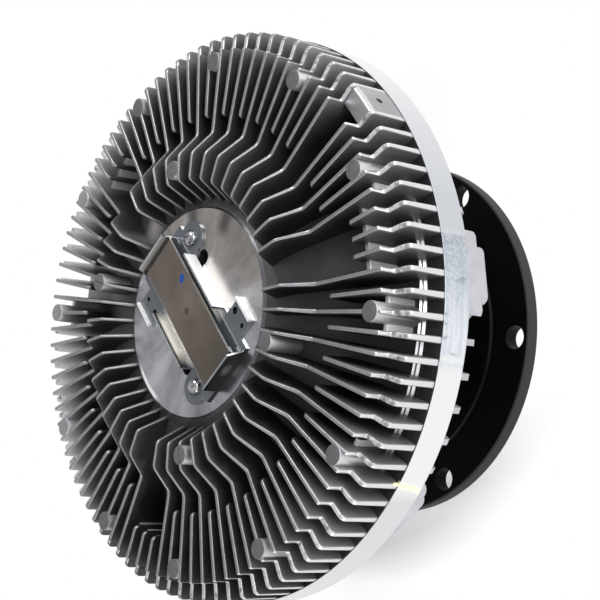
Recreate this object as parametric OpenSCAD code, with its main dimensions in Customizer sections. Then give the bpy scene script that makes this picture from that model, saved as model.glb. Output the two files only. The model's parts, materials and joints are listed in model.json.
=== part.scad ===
// Viscous fan clutch with a bimetal strip on its front face.
// The axis is Z. The drive flange's mounting face lies on Z = 0 and the fins point up.

/* [Rim] */
// Radius of the bright turned rim
rim_r = 140; // [134:1:146]
// Height of the rim's front edge above the mounting face
rim_h = 117; // [114:1:122]
// Axial width of the rim
band_w = 16.5; // [15.5:0.5:18]
// Chamfer at the rear edge of the rim
band_chamfer = 1.2; // [0.6:0.2:2]

/* [Front fins] */
// Thickness of a fin at the level of the rim
fin_root_t = 3.4; // [2.8:0.1:3.8]
// Thickness of a fin at its highest edge
fin_tip_t = 1.5; // [1.2:0.1:2.2]
// Height of the outer shoulder above the rim
shoulder_h = 20.8; // [19.6:0.1:23]
// Rounding of the outer shoulder
shoulder_round = 2.6; // [2:0.2:5]
// Height of the front edge above the rim
front_h = 28.7; // [27:0.1:31]
// Height of the inner plateau above the rim
plateau_h = 40; // [37:0.5:42]
// How far the turned ledge lies inside the rim
ledge_in = 10; // [8:0.5:12]
// Radius where the long fins start to rise
ramp_low_r = 88.4; // [86:0.2:91]
// Radius where the rise reaches the plateau
ramp_high_r = 76.8; // [74:0.2:79]
// Inner radius of the plateau
plateau_r = 63.8; // [62:0.2:66]
// Inner radius of the short fins
short_r = 96.2; // [93:0.2:99]
// Inner radius of the short fins in the pockets
pocket_short_r = 112; // [110:0.2:113]
// Rounding of the inner ends of the short fins
short_round = 2.6; // [1.5:0.1:4]
// Angle of the first fin
fin_phase = 0.5; // [-2:0.5:2]

/* [Front casting] */
// Radius of the turned step in the gaps between the fins
step_ring_r = 128.9; // [127:0.1:129]
// Height of that step above the rim
step_ring_h = 3.1; // [2:0.1:4]
// Height of the gap floor beside the centre face
floor_in_h = 23.8; // [22:0.2:25]
// Radius where the gap floor meets the centre face's side
disc_foot_r = 57; // [55:0.5:59]
// Radius of the turned centre face
disc_r = 51.2; // [50:0.2:52.6]
// Height of the centre face above the rim
disc_h = 27.9; // [27:0.1:29]
// Radius of the ejector posts
post_r = 4.7; // [4:0.1:5.2]
// Circle of the outer posts
outer_post_circle = 123.9; // [122:0.1:125.5]
// Height of the outer posts above the rim
outer_post_h = 29.3; // [29:0.1:32]
// Circle of the inner posts
inner_post_circle = 70; // [68:0.5:72]
// Thickness of the webs beside the posts and in the pockets
web_t = 2.4; // [1.8:0.1:3]
// Height of the webs beside the posts above the rim
web_h = 19.2; // [17:0.2:22]
// Height of the webs in the pockets above the rim
pocket_web_h = 21.6; // [20:0.2:24]
// Radius of the webs in the pockets
pocket_web_r = 115; // [114.4:0.2:118]
// Height of the balance pad above the rim
pad_h = 19.5; // [16:0.5:20.5]
// Radius of the drilled balance dimple
dimple_r = 1.7; // [1:0.1:2.2]
// Depth of the balance dimple
dimple_depth = 3; // [1.5:0.5:4]

/* [Drive flange] */
// Radius of the drive flange
flange_r = 94.2; // [91:0.2:96]
// Thickness of the drive flange
flange_t = 8.2; // [7:0.2:10]
// Radius of the raised middle of the flange
flange_step_r = 71; // [64:1:72]
// Height of the raised middle
flange_step_h = 1.2; // [0.8:0.2:2]
// Circle of the flange bolts
flange_bolt_circle = 85.6; // [84:0.2:86]
// Radius of a flange bolt hole
flange_hole_r = 6; // [5:0.25:6.5]
// Angle of the first flange hole
flange_phase = 1; // [-5:1:5]
// Radius of the pilot bore in the mounting face
pilot_r = 30; // [25:1:34]
// Depth of the pilot bore
pilot_depth = 10; // [8:1:11]
// Radius of the hub where it leaves the flange
hub_foot_r = 46; // [43:1:52]

/* [Bearing] */
// Radius of the bearing's bore
bearing_bore_r = 25; // [24.5:0.1:25.5]
// Outer radius of the bearing
bearing_outer_r = 45; // [44.5:0.1:45.5]
// Width of the double row bearing
bearing_w = 30; // [29.5:0.1:30.5]
// Height of the bearing's rear face above the mounting face
bearing_z = 50; // [48:1:52]
// Radius of a ball
ball_r = 6; // [5.6:0.1:6]
// Number of balls in a row
ball_count = 12; // [10:1:12]

/* [Rotor and chamber] */
// Radius of the rotor
rotor_r = 107; // [106.4:0.1:107.6]
// Thickness of the rotor's web
rotor_web_t = 5.5; // [5:0.1:6]
// Thickness of a ring land
land_t = 1.8; // [1.5:0.1:2]
// Distance from one rotor land to the next
land_pitch = 4.6; // [4.5:0.1:4.8]
// Number of ring lands on the rotor
land_count = 7; // [4:1:7]
// Radius of the working chamber
chamber_r = 109.5; // [109:0.1:110]
// Depth of the chamber in the front casting
chamber_front = 9.8; // [9:0.2:11]
// Depth of the chamber in the rear housing
chamber_rear = 3; // [2.6:0.1:3.4]

/* [Valve] */
// Height of the separator plate above the joint of the castings
plate_rise = 21.5; // [20.5:0.5:22.5]
// Radius of the separator plate
plate_r = 70.6; // [69.5:0.1:71]
// Thickness of the separator plate
plate_t = 1.5; // [1.2:0.1:2]
// Radius of the fluid reservoir
reservoir_r = 63.5; // [60:0.5:64]
// Wall between the reservoir and the centre face
reservoir_wall = 9; // [8:0.5:10]
// Radius of the feed hole in the separator plate
feed_r = 4; // [3:0.5:5]
// Distance of the feed hole from the axis
feed_x = 26; // [24:1:30]
// Distance of the lever's pivot from the axis
pivot_x = 20; // [18:1:24]
// Radius of the lever's pivot pin
pivot_r = 1.5; // [1.2:0.1:1.6]
// Thickness of the valve lever
lever_t = 1.2; // [1:0.1:1.4]
// Width of the valve lever
lever_w = 9; // [8:0.5:12]
// Radius of the valve pin
valve_pin_r = 2.95; // [2.5:0.05:3.2]

/* [Bimetal strip] */
// Length of the strip
strip_l = 77; // [74:0.5:79]
// Width of the strip
strip_w = 24; // [22:0.5:25]
// Thickness of the strip
strip_t = 1.2; // [1:0.1:1.6]
// Height of the strip's underside above the centre face
strip_rise = 4.1; // [3.8:0.1:5]
// Angle of the strip's length
strip_angle = -45; // [-90:5:90]
// Thickness of the bracket's sheet
sheet_t = 1.2; // [1:0.1:1.4]
// Distance of a bracket screw along the strip
screw_a = 30.2; // [29:0.2:31]
// Distance of a bracket screw across the strip
screw_b = 21; // [20:0.2:21.6]

/* [Rear housing] */
// Radius of the housing's flange behind the rim
housing_r = 127; // [126:0.5:127.5]
// Distance from the joint of the castings to the rear wall
housing_wall = 10.5; // [10:0.5:12]
// Radius of the rear fins
rear_fin_r = 121.8; // [120:0.2:124]
// Thickness of a rear fin
rear_fin_t = 3; // [2.4:0.1:3.4]
// Distance of the rear fins' edge behind the rim's front edge
rear_fin_back = 41.2; // [38:0.2:42]
// Distance of the fan pads' face behind the rim's front edge
fan_pad_back = 47.4; // [46:0.1:50]
// Distance of the pads' shoulders behind the rim's front edge
fan_shoulder_back = 42.8; // [42:0.2:45]
// Width of a fan pad
fan_pad_w = 27.6; // [24:0.2:30]
// Width across the shoulders of a fan pad
fan_shoulder_w = 42; // [38:0.5:44]
// Circle of the fan bolts
fan_bolt_circle = 111; // [110:0.5:112]
// Radius of a fan bolt hole
fan_hole_r = 3.4; // [3:0.1:4]
// Angle of the first fan pad
fan_phase = 12.2; // [11.8:0.1:12.6]
// Outer radius of the bearing hub
bearing_hub_r = 56; // [54:1:60]

/* [Fasteners] */
// Circle of the cover screws
cover_screw_circle = 119; // [118.6:0.1:119.4]
// Radius of a cover screw
cover_screw_r = 3; // [2.5:0.1:3]
// Radius of the rotor bolt
rotor_bolt_r = 8; // [7:0.5:9]
// Radius of a separator plate screw
plate_screw_r = 2; // [1.5:0.1:2]

/* [Fits] */
// Clearance of pieces seated in one body
seat_gap = 0.05; // [0.02:0.01:0.1]
// Clearance of a screw in its hole
screw_gap = 0.3; // [0.2:0.05:0.4]
// Clearance between curved faces that run past each other
run_gap = 0.3; // [0.25:0.05:0.4]
// Clearance of a running pin
pin_gap = 0.05; // [0.03:0.01:0.08]
// Axial clearance of the rotor and its lands
land_gap = 0.6; // [0.5:0.1:0.8]

/* [Hidden] */
$fn = 96;

// Small overlap that fuses pieces of one casting
fuse = 2;
// Extra length that lets a cut run clear of a face
cut = 1;
// Small chamfer on turned edges
edge = 1;

// Pattern of the front fins: long and short in turn, in three sectors
fin_count = 90;
fin_step = 360 / fin_count;
sector_fins = 30;
pocket_mid = 4;
pad_fin = 11;
outer_posts = 12;
inner_posts = [-3, -20, -48, -65];

// Heights of the castings
joint_z = rim_h - band_w;
disc_z = rim_h + disc_h;
fin_inset = 0.4;
fin_out_r = rim_r - fin_inset;
ledge_r = rim_r - ledge_in;
floor_steps = 10;
step_slope = 0.3;
pad_overlap = 0.5;
chamber_top = joint_z + chamber_front;
chamber_floor = joint_z - chamber_rear;
reservoir_top = disc_z - reservoir_wall;

// Heights of the rotor
rotor_z = chamber_floor + land_gap;
rotor_top = rotor_z + rotor_web_t;
rotor_hub_h = 2.2;
rotor_hub_top = rotor_top + rotor_hub_h;
spigot_r = 18;
spigot_short = 2;
spigot_top = rotor_hub_top - spigot_short;
land_r = 75;
land_slot = land_pitch - land_t;

// Bearing
bearing_top = bearing_z + bearing_w;
ball_circle = (bearing_bore_r + bearing_outer_r) / 2;
ball_rows = [bearing_z + bearing_w / 4, bearing_top - bearing_w / 4];
race_r = ball_r + run_gap;
race_wall = 4;
inner_ring_r = ball_circle - race_wall;
outer_ring_r = ball_circle + race_wall;
rotor_hub_in = 0.4;
rotor_hub_r = inner_ring_r - rotor_hub_in;
cage_t = 3.2;
cage_margin = 2.2;
seal_t = 1;
retainer_t = 2;
retainer_in = 2.5;
retainer_out = 2;
retainer_gap = 8;
hub_overhang = 4;
hub_lip = 7;
hub_opening_r = bearing_outer_r - hub_lip;
neck_l = 12;

// Separator plate, lever and pin
plate_z = joint_z + plate_rise;
plate_top = plate_z + plate_t;
plate_gap = 0.4;
plate_bore_r = plate_r + plate_gap;
plate_screw_in = 3.4;
plate_screw_circle = plate_r - plate_screw_in;
lever_z = plate_top + run_gap;
lever_top = lever_z + lever_t;
lever_margin = 3;
eye_t = 1.1;
pivot_z = lever_z + pivot_r + eye_t;
lug_t = 1.6;
lug_gap = 0.4;
lug_y = lever_w / 2 + lug_gap;
strip_z = disc_z + strip_rise;
pin_nose_r = 1.5;
pin_nose_l = 3;
pin_seal_circle = 4.2;
pin_seal_r = 0.9;
seal_groove_r = 5.4;
seal_groove_h = 2.4;
pin_seal_z = reservoir_top + reservoir_wall / 2;

// Bracket
wall_rise = 8.4;
side_a = [-21, 15.5];
side_b = 18.5;
strip_end_gap = 2.7;
end_a = strip_l / 2 + strip_end_gap + sheet_t;
end_b = [-11, 12.5, 17];
shelf_in = 3.5;
tab_a = [19, 35];
tab_b = 29.7;
tab_lip_h = 3.2;
tab_holes = [[22.2, 23.4, 1.9], [31.5, 22.7, 1.3]];
ear_r = 8.6;
free_hole = [-17.2, 20.8];
free_hole_r = 4;
free_hole_depth = 7;
bracket_hole_r = 6;
bracket_screw_r = 2;
bracket_head_r = 4.2;
bracket_head_h = 3;
slot_w = 1;
slot_depth = 1.4;

// Rear housing
wall_z = joint_z - housing_wall;
rear_fin_z = rim_h - rear_fin_back;
rear_fin_count = 48;
rear_fin_phase = 4.4;
rear_fin_slope = 4;
rear_fin_round = 2;
fan_pads = 6;
fan_pad_z = rim_h - fan_pad_back;
fan_shoulder_z = rim_h - fan_shoulder_back;
fan_pad_l = 24;
fan_pad_round = 4;
fan_hole_depth = 18;
flange_bolts = 6;
hub_z = bearing_z - hub_overhang;

// Cover screws and seal
cover_screws_n = 12;
cover_screw_phase = 0.65;
cover_screw_l = 18;
spot_face = 0.5;
cover_head_r = 5;
cover_head_h = 5.4;
cover_socket_r = 2.6;
cover_socket_depth = 3;
cover_seal_circle = 112.5;
cover_seal_r = 1.2;
cover_groove_w = 3.2;
cover_groove_h = 2.7;
plate_screws_n = 4;
plate_screw_phase = 45;
plate_screw_l = 9;
plate_head_r = 3.4;
plate_head_h = 2.2;
washer_r = 24;
washer_t = 3;
hex_r = 13;
hex_h = 10;
rotor_bolt_l = 34;
hex_count = 6;

// Height of the gap floor above the rim at step i, rising from the turned step to the centre face
function floor_point(i) = let (t = i / floor_steps)
    [step_ring_r + (disc_foot_r - step_ring_r) * t,
     rim_h + step_ring_h + (floor_in_h - step_ring_h) * (1 - cos(180 * t)) / 2];

// Copies of one shape on a circle
module around(count, phase = 0) {
    for (i = [0 : count - 1])
        rotate([0, 0, phase + i * 360 / count])
            children();
}

// Flat ring with square edges
module ring(inner, outer, z0, z1) {
    difference() {
        translate([0, 0, z0])
            cylinder(r = outer, h = z1 - z0);
        translate([0, 0, z0 - cut])
            cylinder(r = inner, h = z1 - z0 + 2 * cut);
    }
}

// Box given by two corners
module block(a, b) {
    translate(a)
        cube(b - a);
}

// Radial plate of a fin: its side view, thinned towards the front edge
module fin_plate() {
    intersection() {
        rotate([90, 0, 0])
            linear_extrude(height = 2 * fin_root_t, center = true)
                children();
        rotate([90, 0, 90])
            linear_extrude(height = rim_r + cut)
                polygon([[-fin_root_t / 2, rim_h - fuse], [fin_root_t / 2, rim_h - fuse],
                         [fin_tip_t / 2, rim_h + plateau_h], [-fin_tip_t / 2, rim_h + plateau_h]]);
    }
}

// Outer end of every fin: shoulder with a round corner, turned ledge and front edge
module fin_outer(inner_r) {
    polygon([[fin_out_r, rim_h - fuse], [fin_out_r, rim_h + shoulder_h - shoulder_round],
             [fin_out_r - shoulder_round, rim_h + shoulder_h], [ledge_r, rim_h + shoulder_h],
             [ledge_r, rim_h + front_h], [inner_r + short_round, rim_h + front_h],
             [inner_r, rim_h + front_h - short_round], [inner_r, rim_h - fuse]]);
    translate([fin_out_r - shoulder_round, rim_h + shoulder_h - shoulder_round])
        circle(r = shoulder_round);
    translate([inner_r + short_round, rim_h + front_h - short_round])
        circle(r = short_round);
}

// Inner end of a long fin: rise, plateau and steep fall to the centre face
module fin_inner() {
    polygon([[short_r + fuse, rim_h - fuse], [short_r + fuse, rim_h + front_h],
             [ramp_low_r, rim_h + front_h], [ramp_high_r, rim_h + plateau_h],
             [plateau_r, rim_h + plateau_h], [disc_foot_r - fuse, rim_h + floor_in_h],
             [disc_foot_r - fuse, rim_h - fuse]]);
}

module long_fin() {
    fin_plate() {
        union() {
            fin_outer(short_r);
            fin_inner();
        }
    }
}

module short_fin() {
    fin_plate()
        fin_outer(short_r);
}

module pocket_fin() {
    fin_plate()
        fin_outer(pocket_short_r);
}

// All fins: the fin in the middle of a pocket and its two neighbours are the shortest
module front_fins() {
    for (i = [0 : fin_count - 1]) {
        from_pocket = (i - pocket_mid + sector_fins) % sector_fins;
        rotate([0, 0, fin_phase + i * fin_step]) {
            if (from_pocket <= 1 || from_pocket == sector_fins - 1)
                pocket_fin();
            else if (i % 2 == 0)
                long_fin();
            else if (i != pad_fin)
                short_fin();
            else
                intersection() {
                    short_fin();
                    cylinder(r = ledge_r, h = rim_h + plateau_h);
                }
        }
    }
}

// Curved web through the gaps beside an angle
module web(r, height, half_angle) {
    rotate([0, 0, -half_angle])
        rotate_extrude(angle = 2 * half_angle)
            translate([r - web_t / 2, rim_h - fuse])
                square([web_t, height + fuse]);
}

module posts_and_webs() {
    around(outer_posts, fin_phase) {
        translate([outer_post_circle, 0, rim_h - fuse])
            cylinder(r = post_r, h = outer_post_h + fuse);
        web(outer_post_circle, web_h, fin_step);
    }
    for (i = inner_posts)
        rotate([0, 0, fin_phase + i * fin_step])
            translate([inner_post_circle, 0, rim_h])
                cylinder(r = post_r, h = plateau_h);
    around(fin_count / sector_fins, fin_phase + pocket_mid * fin_step)
        web(pocket_web_r, pocket_web_h, 2 * fin_step);
}

// Pad that fills the gap beside one short fin, for the balance drilling
module balance_pad() {
    pad_inner = ledge_r - pad_overlap;
    rotate([0, 0, fin_phase + (pad_fin - 1) * fin_step])
        rotate_extrude(angle = 2 * fin_step) {
            polygon([[pad_inner, rim_h - fuse], [fin_out_r, rim_h - fuse],
                     [fin_out_r, rim_h + pad_h - shoulder_round],
                     [fin_out_r - shoulder_round, rim_h + pad_h], [pad_inner, rim_h + pad_h]]);
            translate([fin_out_r - shoulder_round, rim_h + pad_h - shoulder_round])
                circle(r = shoulder_round);
        }
}

module balance_dimple() {
    rotate([0, 0, fin_phase + pad_fin * fin_step])
        translate([fin_out_r - dimple_depth, 0, rim_h + pad_h / 2])
            rotate([0, 90, 0])
                cylinder(r = dimple_r, h = dimple_depth + cut);
}

// Turned body of the front casting without its hollow
module cover_body() {
    rotate_extrude()
        polygon(concat(
            [[0, joint_z], [rim_r - band_chamfer, joint_z], [rim_r, joint_z + band_chamfer],
             [rim_r, rim_h], [step_ring_r + step_slope, rim_h]],
            [for (i = [0 : floor_steps]) floor_point(i)],
            [[disc_r + edge, disc_z - edge], [disc_r, disc_z], [0, disc_z]]));
}

// Working chamber with its ring lands, bore for the separator plate, reservoir and pin bore
module cover_hollow() {
    rotate_extrude() {
        difference() {
            translate([0, joint_z - cut])
                square([chamber_r, chamber_front + cut]);
            for (i = [0 : land_count - 2])
                translate([land_r + land_t + i * land_pitch + (land_slot - land_t) / 2,
                           rotor_top + land_gap])
                    square([land_t, chamber_front]);
        }
        translate([0, joint_z - cut])
            square([plate_bore_r, plate_rise + plate_t + cut]);
        translate([0, joint_z])
            square([reservoir_r, reservoir_top - joint_z]);
        translate([0, reservoir_top - cut])
            square([valve_pin_r + pin_gap, reservoir_wall + 2 * cut]);
        translate([0, pin_seal_z - seal_groove_h / 2])
            square([seal_groove_r, seal_groove_h]);
    }
}

module front_casting() {
    color("silver")
        difference() {
            union() {
                cover_body();
                front_fins();
                posts_and_webs();
                balance_pad();
            }
            cover_hollow();
            balance_dimple();
            around(cover_screws_n, cover_screw_phase)
                translate([cover_screw_circle, 0, joint_z - cut])
                    cylinder(r = cover_screw_r + screw_gap, h = cover_screw_l - housing_wall + 2 * cut);
            around(plate_screws_n, plate_screw_phase)
                translate([plate_screw_circle, 0, plate_z])
                    cylinder(r = plate_screw_r + screw_gap, h = plate_screw_l + cut);
            rotate([0, 0, strip_angle])
                around(2) {
                    translate([-screw_a, screw_b, disc_z - reservoir_wall + cut])
                        cylinder(r = bracket_screw_r + screw_gap, h = reservoir_wall);
                    translate([free_hole[0], free_hole[1], disc_z - free_hole_depth])
                        cylinder(r = free_hole_r, h = free_hole_depth + cut);
                }
        }
}

// Turned body of the rear housing with its bearing hub
module housing_body() {
    rotate_extrude()
        polygon([[hub_opening_r, bearing_top], [hub_opening_r, chamber_floor],
                 [chamber_r, chamber_floor], [chamber_r, joint_z], [housing_r, joint_z],
                 [housing_r, wall_z + edge], [housing_r - edge, wall_z],
                 [bearing_hub_r + fuse, wall_z], [bearing_hub_r, wall_z - fuse],
                 [bearing_hub_r, hub_z + edge], [bearing_hub_r - edge, hub_z],
                 [bearing_outer_r + seat_gap, hub_z],
                 [bearing_outer_r + seat_gap, bearing_top]]);
}

module rear_fins() {
    corner = [rear_fin_r - rear_fin_round, rear_fin_z + rear_fin_round];
    around(rear_fin_count, rear_fin_phase)
        rotate([90, 0, 0])
            linear_extrude(height = rear_fin_t, center = true) {
                polygon([[bearing_hub_r - fuse, wall_z + fuse], [rear_fin_r, wall_z + fuse],
                         [rear_fin_r, corner[1]], [corner[0], rear_fin_z],
                         [bearing_hub_r - fuse, rear_fin_z - rear_fin_slope]]);
                translate(corner)
                    circle(r = rear_fin_round);
            }
}

// Fan pad: a high middle with two lower shoulders, all with round outer corners
module pad_tier(width, z) {
    outer = rear_fin_r - fan_pad_round;
    corner_y = width / 2 - fan_pad_round;
    block([rear_fin_r - fan_pad_l, -width / 2, z], [outer, width / 2, wall_z + fuse]);
    block([outer - fuse, -corner_y, z], [rear_fin_r, corner_y, wall_z + fuse]);
    for (side = [-1, 1])
        translate([outer, side * corner_y, z])
            cylinder(r = fan_pad_round, h = wall_z + fuse - z);
}

module rear_housing() {
    color("gainsboro")
        difference() {
            union() {
                housing_body();
                rear_fins();
                around(fan_pads, fan_phase) {
                    pad_tier(fan_shoulder_w, fan_shoulder_z);
                    pad_tier(fan_pad_w, fan_pad_z);
                }
            }
            around(fan_pads, fan_phase)
                translate([fan_bolt_circle, 0, fan_pad_z - cut])
                    cylinder(r = fan_hole_r, h = fan_hole_depth + cut);
            around(cover_screws_n, cover_screw_phase) {
                translate([cover_screw_circle, 0, wall_z - cut])
                    cylinder(r = cover_screw_r + screw_gap, h = housing_wall + 2 * cut);
                translate([cover_screw_circle, 0, fan_pad_z - cut])
                    cylinder(r = cover_head_r + screw_gap, h = wall_z + spot_face - fan_pad_z + cut);
            }
            ring(cover_seal_circle - cover_groove_w / 2, cover_seal_circle + cover_groove_w / 2,
                 joint_z - cover_groove_h, joint_z + cut);
            ring(bearing_outer_r - cut, bearing_outer_r + retainer_out + screw_gap,
                 bearing_z - retainer_t - seat_gap, bearing_z);
        }
}

// Flange, hub and shaft in one forging
module drive_flange() {
    color([0.07, 0.07, 0.08])
        difference() {
            rotate_extrude()
                polygon([[0, pilot_depth], [pilot_r, pilot_depth], [pilot_r, 0],
                         [flange_r - edge, 0], [flange_r, edge], [flange_r, flange_t - edge],
                         [flange_r - edge, flange_t], [flange_step_r, flange_t],
                         [flange_step_r - edge, flange_t + flange_step_h],
                         [hub_foot_r, flange_t + flange_step_h],
                         [inner_ring_r, bearing_z - neck_l], [inner_ring_r, bearing_z],
                         [bearing_bore_r - seat_gap, bearing_z],
                         [bearing_bore_r - seat_gap, bearing_top - edge],
                         [spigot_r, bearing_top - edge], [spigot_r, spigot_top - edge],
                         [spigot_r - edge, spigot_top], [0, spigot_top]]);
            around(flange_bolts, flange_phase)
                translate([flange_bolt_circle, 0, -cut])
                    cylinder(r = flange_hole_r, h = flange_t + 2 * cut);
            translate([0, 0, rotor_hub_top + washer_t - rotor_bolt_l - cut])
                cylinder(r = rotor_bolt_r + screw_gap, h = rotor_bolt_l);
        }
}

module bearing_races() {
    for (z = ball_rows)
        translate([0, 0, z])
            rotate_extrude()
                translate([ball_circle, 0])
                    circle(r = race_r);
}

module bearing_inner_ring() {
    color("lightsteelblue")
        difference() {
            ring(bearing_bore_r, inner_ring_r, bearing_z, bearing_top);
            bearing_races();
        }
}

module bearing_outer_ring() {
    color("lightsteelblue")
        difference() {
            ring(outer_ring_r, bearing_outer_r, bearing_z, bearing_top);
            bearing_races();
        }
}

module bearing_balls() {
    color("white")
        for (z = ball_rows)
            around(ball_count)
                translate([ball_circle, 0, z])
                    sphere(r = ball_r);
}

module bearing_cage() {
    color("goldenrod")
        difference() {
            ring(ball_circle - cage_t / 2, ball_circle + cage_t / 2,
                 bearing_z + cage_margin, bearing_top - cage_margin);
            for (z = ball_rows)
                around(ball_count)
                    translate([ball_circle, 0, z])
                        sphere(r = race_r);
        }
}

module bearing_seal(z) {
    color("darkslategray")
        ring(inner_ring_r + run_gap, outer_ring_r - seat_gap, z, z + seal_t);
}

module bearing_seal_front() {
    bearing_seal(bearing_top - seal_t);
}

module bearing_seal_rear() {
    bearing_seal(bearing_z);
}

// Sprung ring with a gap between two eyes
module bearing_retainer() {
    color("dimgray")
        difference() {
            ring(bearing_outer_r - retainer_in, bearing_outer_r + retainer_out,
                 bearing_z - retainer_t, bearing_z);
            block([0, -retainer_gap / 2, bearing_z - retainer_t - cut],
                  [bearing_outer_r + retainer_out + cut, retainer_gap / 2, bearing_z + cut]);
        }
}

module rotor() {
    color("lightgray")
        rotate_extrude() {
            polygon([[spigot_r + seat_gap, bearing_top], [rotor_hub_r, bearing_top],
                     [rotor_hub_r, rotor_z], [rotor_r, rotor_z], [rotor_r, rotor_top],
                     [rotor_hub_r, rotor_top], [rotor_hub_r - edge, rotor_hub_top],
                     [spigot_r + seat_gap, rotor_hub_top]]);
            for (i = [0 : land_count - 1])
                translate([land_r + i * land_pitch, rotor_top - cut])
                    square([land_t, chamber_top - land_gap - rotor_top + cut]);
        }
}

module rotor_washer() {
    color("silver")
        ring(rotor_bolt_r + screw_gap, washer_r, rotor_hub_top, rotor_hub_top + washer_t);
}

module rotor_bolt() {
    head_z = rotor_hub_top + washer_t;
    color("dimgray") {
        translate([0, 0, head_z])
            cylinder(r = hex_r, h = hex_h, $fn = hex_count);
        translate([0, 0, head_z - rotor_bolt_l])
            cylinder(r = rotor_bolt_r, h = rotor_bolt_l);
    }
}

// Lug with the eye that holds one end of the pivot pin
module pivot_lug() {
    lug_r = pivot_r + lug_t;
    translate([-pivot_x, lug_y, 0]) {
        block([-lug_r, 0, plate_top - plate_t / 2], [lug_r, lug_t, pivot_z]);
        translate([0, lug_t, pivot_z])
            rotate([90, 0, 0])
                cylinder(r = lug_r, h = lug_t);
    }
}

module separator_plate() {
    color("darkgray")
        difference() {
            union() {
                translate([0, 0, plate_z])
                    cylinder(r = plate_r, h = plate_t);
                pivot_lug();
                mirror([0, 1, 0])
                    pivot_lug();
            }
            translate([feed_x, 0, plate_z - cut])
                cylinder(r = feed_r, h = plate_t + 2 * cut);
            translate([-pivot_x, lever_w, pivot_z])
                rotate([90, 0, 0])
                    cylinder(r = pivot_r + seat_gap, h = 2 * lever_w);
            around(plate_screws_n, plate_screw_phase)
                translate([plate_screw_circle, 0, plate_z - cut])
                    cylinder(r = plate_screw_r + screw_gap, h = plate_t + 2 * cut);
        }
}

module plate_screws() {
    color("dimgray")
        around(plate_screws_n, plate_screw_phase)
            translate([plate_screw_circle, 0, 0])
                difference() {
                    union() {
                        translate([0, 0, plate_z - plate_head_h])
                            cylinder(r = plate_head_r, h = plate_head_h);
                        translate([0, 0, plate_z - cut])
                            cylinder(r = plate_screw_r, h = plate_screw_l + cut);
                    }
                    block([-plate_head_r, -slot_w / 2, plate_z - plate_head_h - cut],
                          [plate_head_r, slot_w / 2, plate_z - plate_head_h + slot_depth / 2]);
                }
}

// Flat arm with a rolled eye on the pivot pin, ending over the feed hole
module valve_lever() {
    eye_r = pivot_r + eye_t;
    color("peru")
        difference() {
            union() {
                block([-pivot_x, -lever_w / 2, lever_z], [feed_x, lever_w / 2, lever_top]);
                translate([feed_x, 0, lever_z])
                    cylinder(r = feed_r + lever_margin, h = lever_t);
                translate([-pivot_x, lever_w / 2, pivot_z])
                    rotate([90, 0, 0])
                        cylinder(r = eye_r, h = lever_w);
            }
            translate([-pivot_x, lever_w, pivot_z])
                rotate([90, 0, 0])
                    cylinder(r = pivot_r + pin_gap, h = 2 * lever_w);
        }
}

module lever_pivot() {
    color("silver")
        translate([-pivot_x, lug_y + lug_t, pivot_z])
            rotate([90, 0, 0])
                cylinder(r = pivot_r, h = 2 * (lug_y + lug_t));
}

// Pin that passes the strip's movement to the lever, with a thin nose
module valve_pin() {
    nose_z = lever_top + run_gap;
    color("silver") {
        translate([0, 0, nose_z])
            cylinder(r = pin_nose_r, h = pin_nose_l + cut);
        translate([0, 0, nose_z + pin_nose_l])
            cylinder(r = valve_pin_r, h = strip_z - nose_z - pin_nose_l);
    }
}

module pin_seal() {
    color([0.1, 0.1, 0.1])
        translate([0, 0, pin_seal_z])
            rotate_extrude()
                translate([pin_seal_circle, 0])
                    circle(r = pin_seal_r);
}

module bimetal_strip() {
    color([0.43, 0.39, 0.35])
        rotate([0, 0, strip_angle])
            block([-strip_l / 2, -strip_w / 2, strip_z], [strip_l / 2, strip_w / 2, strip_z + strip_t]);
}

// Upright wall across the strip's end, with one sloping edge
module end_wall() {
    translate([end_a - sheet_t, 0, disc_z])
        rotate([90, 0, 90])
            linear_extrude(height = sheet_t)
                polygon([[end_b[0], 0], [end_b[2], 0], [end_b[1], wall_rise], [end_b[0], wall_rise]]);
}

// Half of the bracket: side and end walls, shelf for the strip, tab with a lip, and round ear for a screw
module bracket_half() {
    sheet_z = disc_z + sheet_t;
    inner_b = side_b - sheet_t;
    block([side_a[0], inner_b, disc_z], [side_a[1], side_b, disc_z + wall_rise]);
    end_wall();
    block([strip_l / 2 - shelf_in, end_b[0], strip_z - sheet_t],
          [end_a - sheet_t / 2, strip_w / 2, strip_z]);
    block([tab_a[0], inner_b, disc_z], [tab_a[1], tab_b, sheet_z]);
    block([tab_a[0], tab_b - sheet_t, disc_z], [tab_a[1], tab_b, disc_z + tab_lip_h]);
    block([-screw_a - ear_r, inner_b, disc_z], [ear_r - screw_a, screw_b, sheet_z]);
    translate([-screw_a, screw_b, disc_z])
        cylinder(r = ear_r, h = sheet_t);
}

module strip_bracket() {
    color("lightsteelblue")
        rotate([0, 0, strip_angle])
            difference() {
                union() {
                    block([-end_a, -side_b, disc_z], [end_a, side_b, disc_z + sheet_t]);
                    around(2)
                        bracket_half();
                }
                translate([0, 0, disc_z - cut])
                    cylinder(r = bracket_hole_r, h = sheet_t + 2 * cut);
                around(2) {
                    for (hole = tab_holes)
                        translate([hole[0], hole[1], disc_z - cut])
                            cylinder(r = hole[2], h = sheet_t + 2 * cut);
                    translate([-screw_a, screw_b, disc_z - cut])
                        cylinder(r = bracket_screw_r + screw_gap, h = sheet_t + 2 * cut);
                }
            }
}

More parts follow.
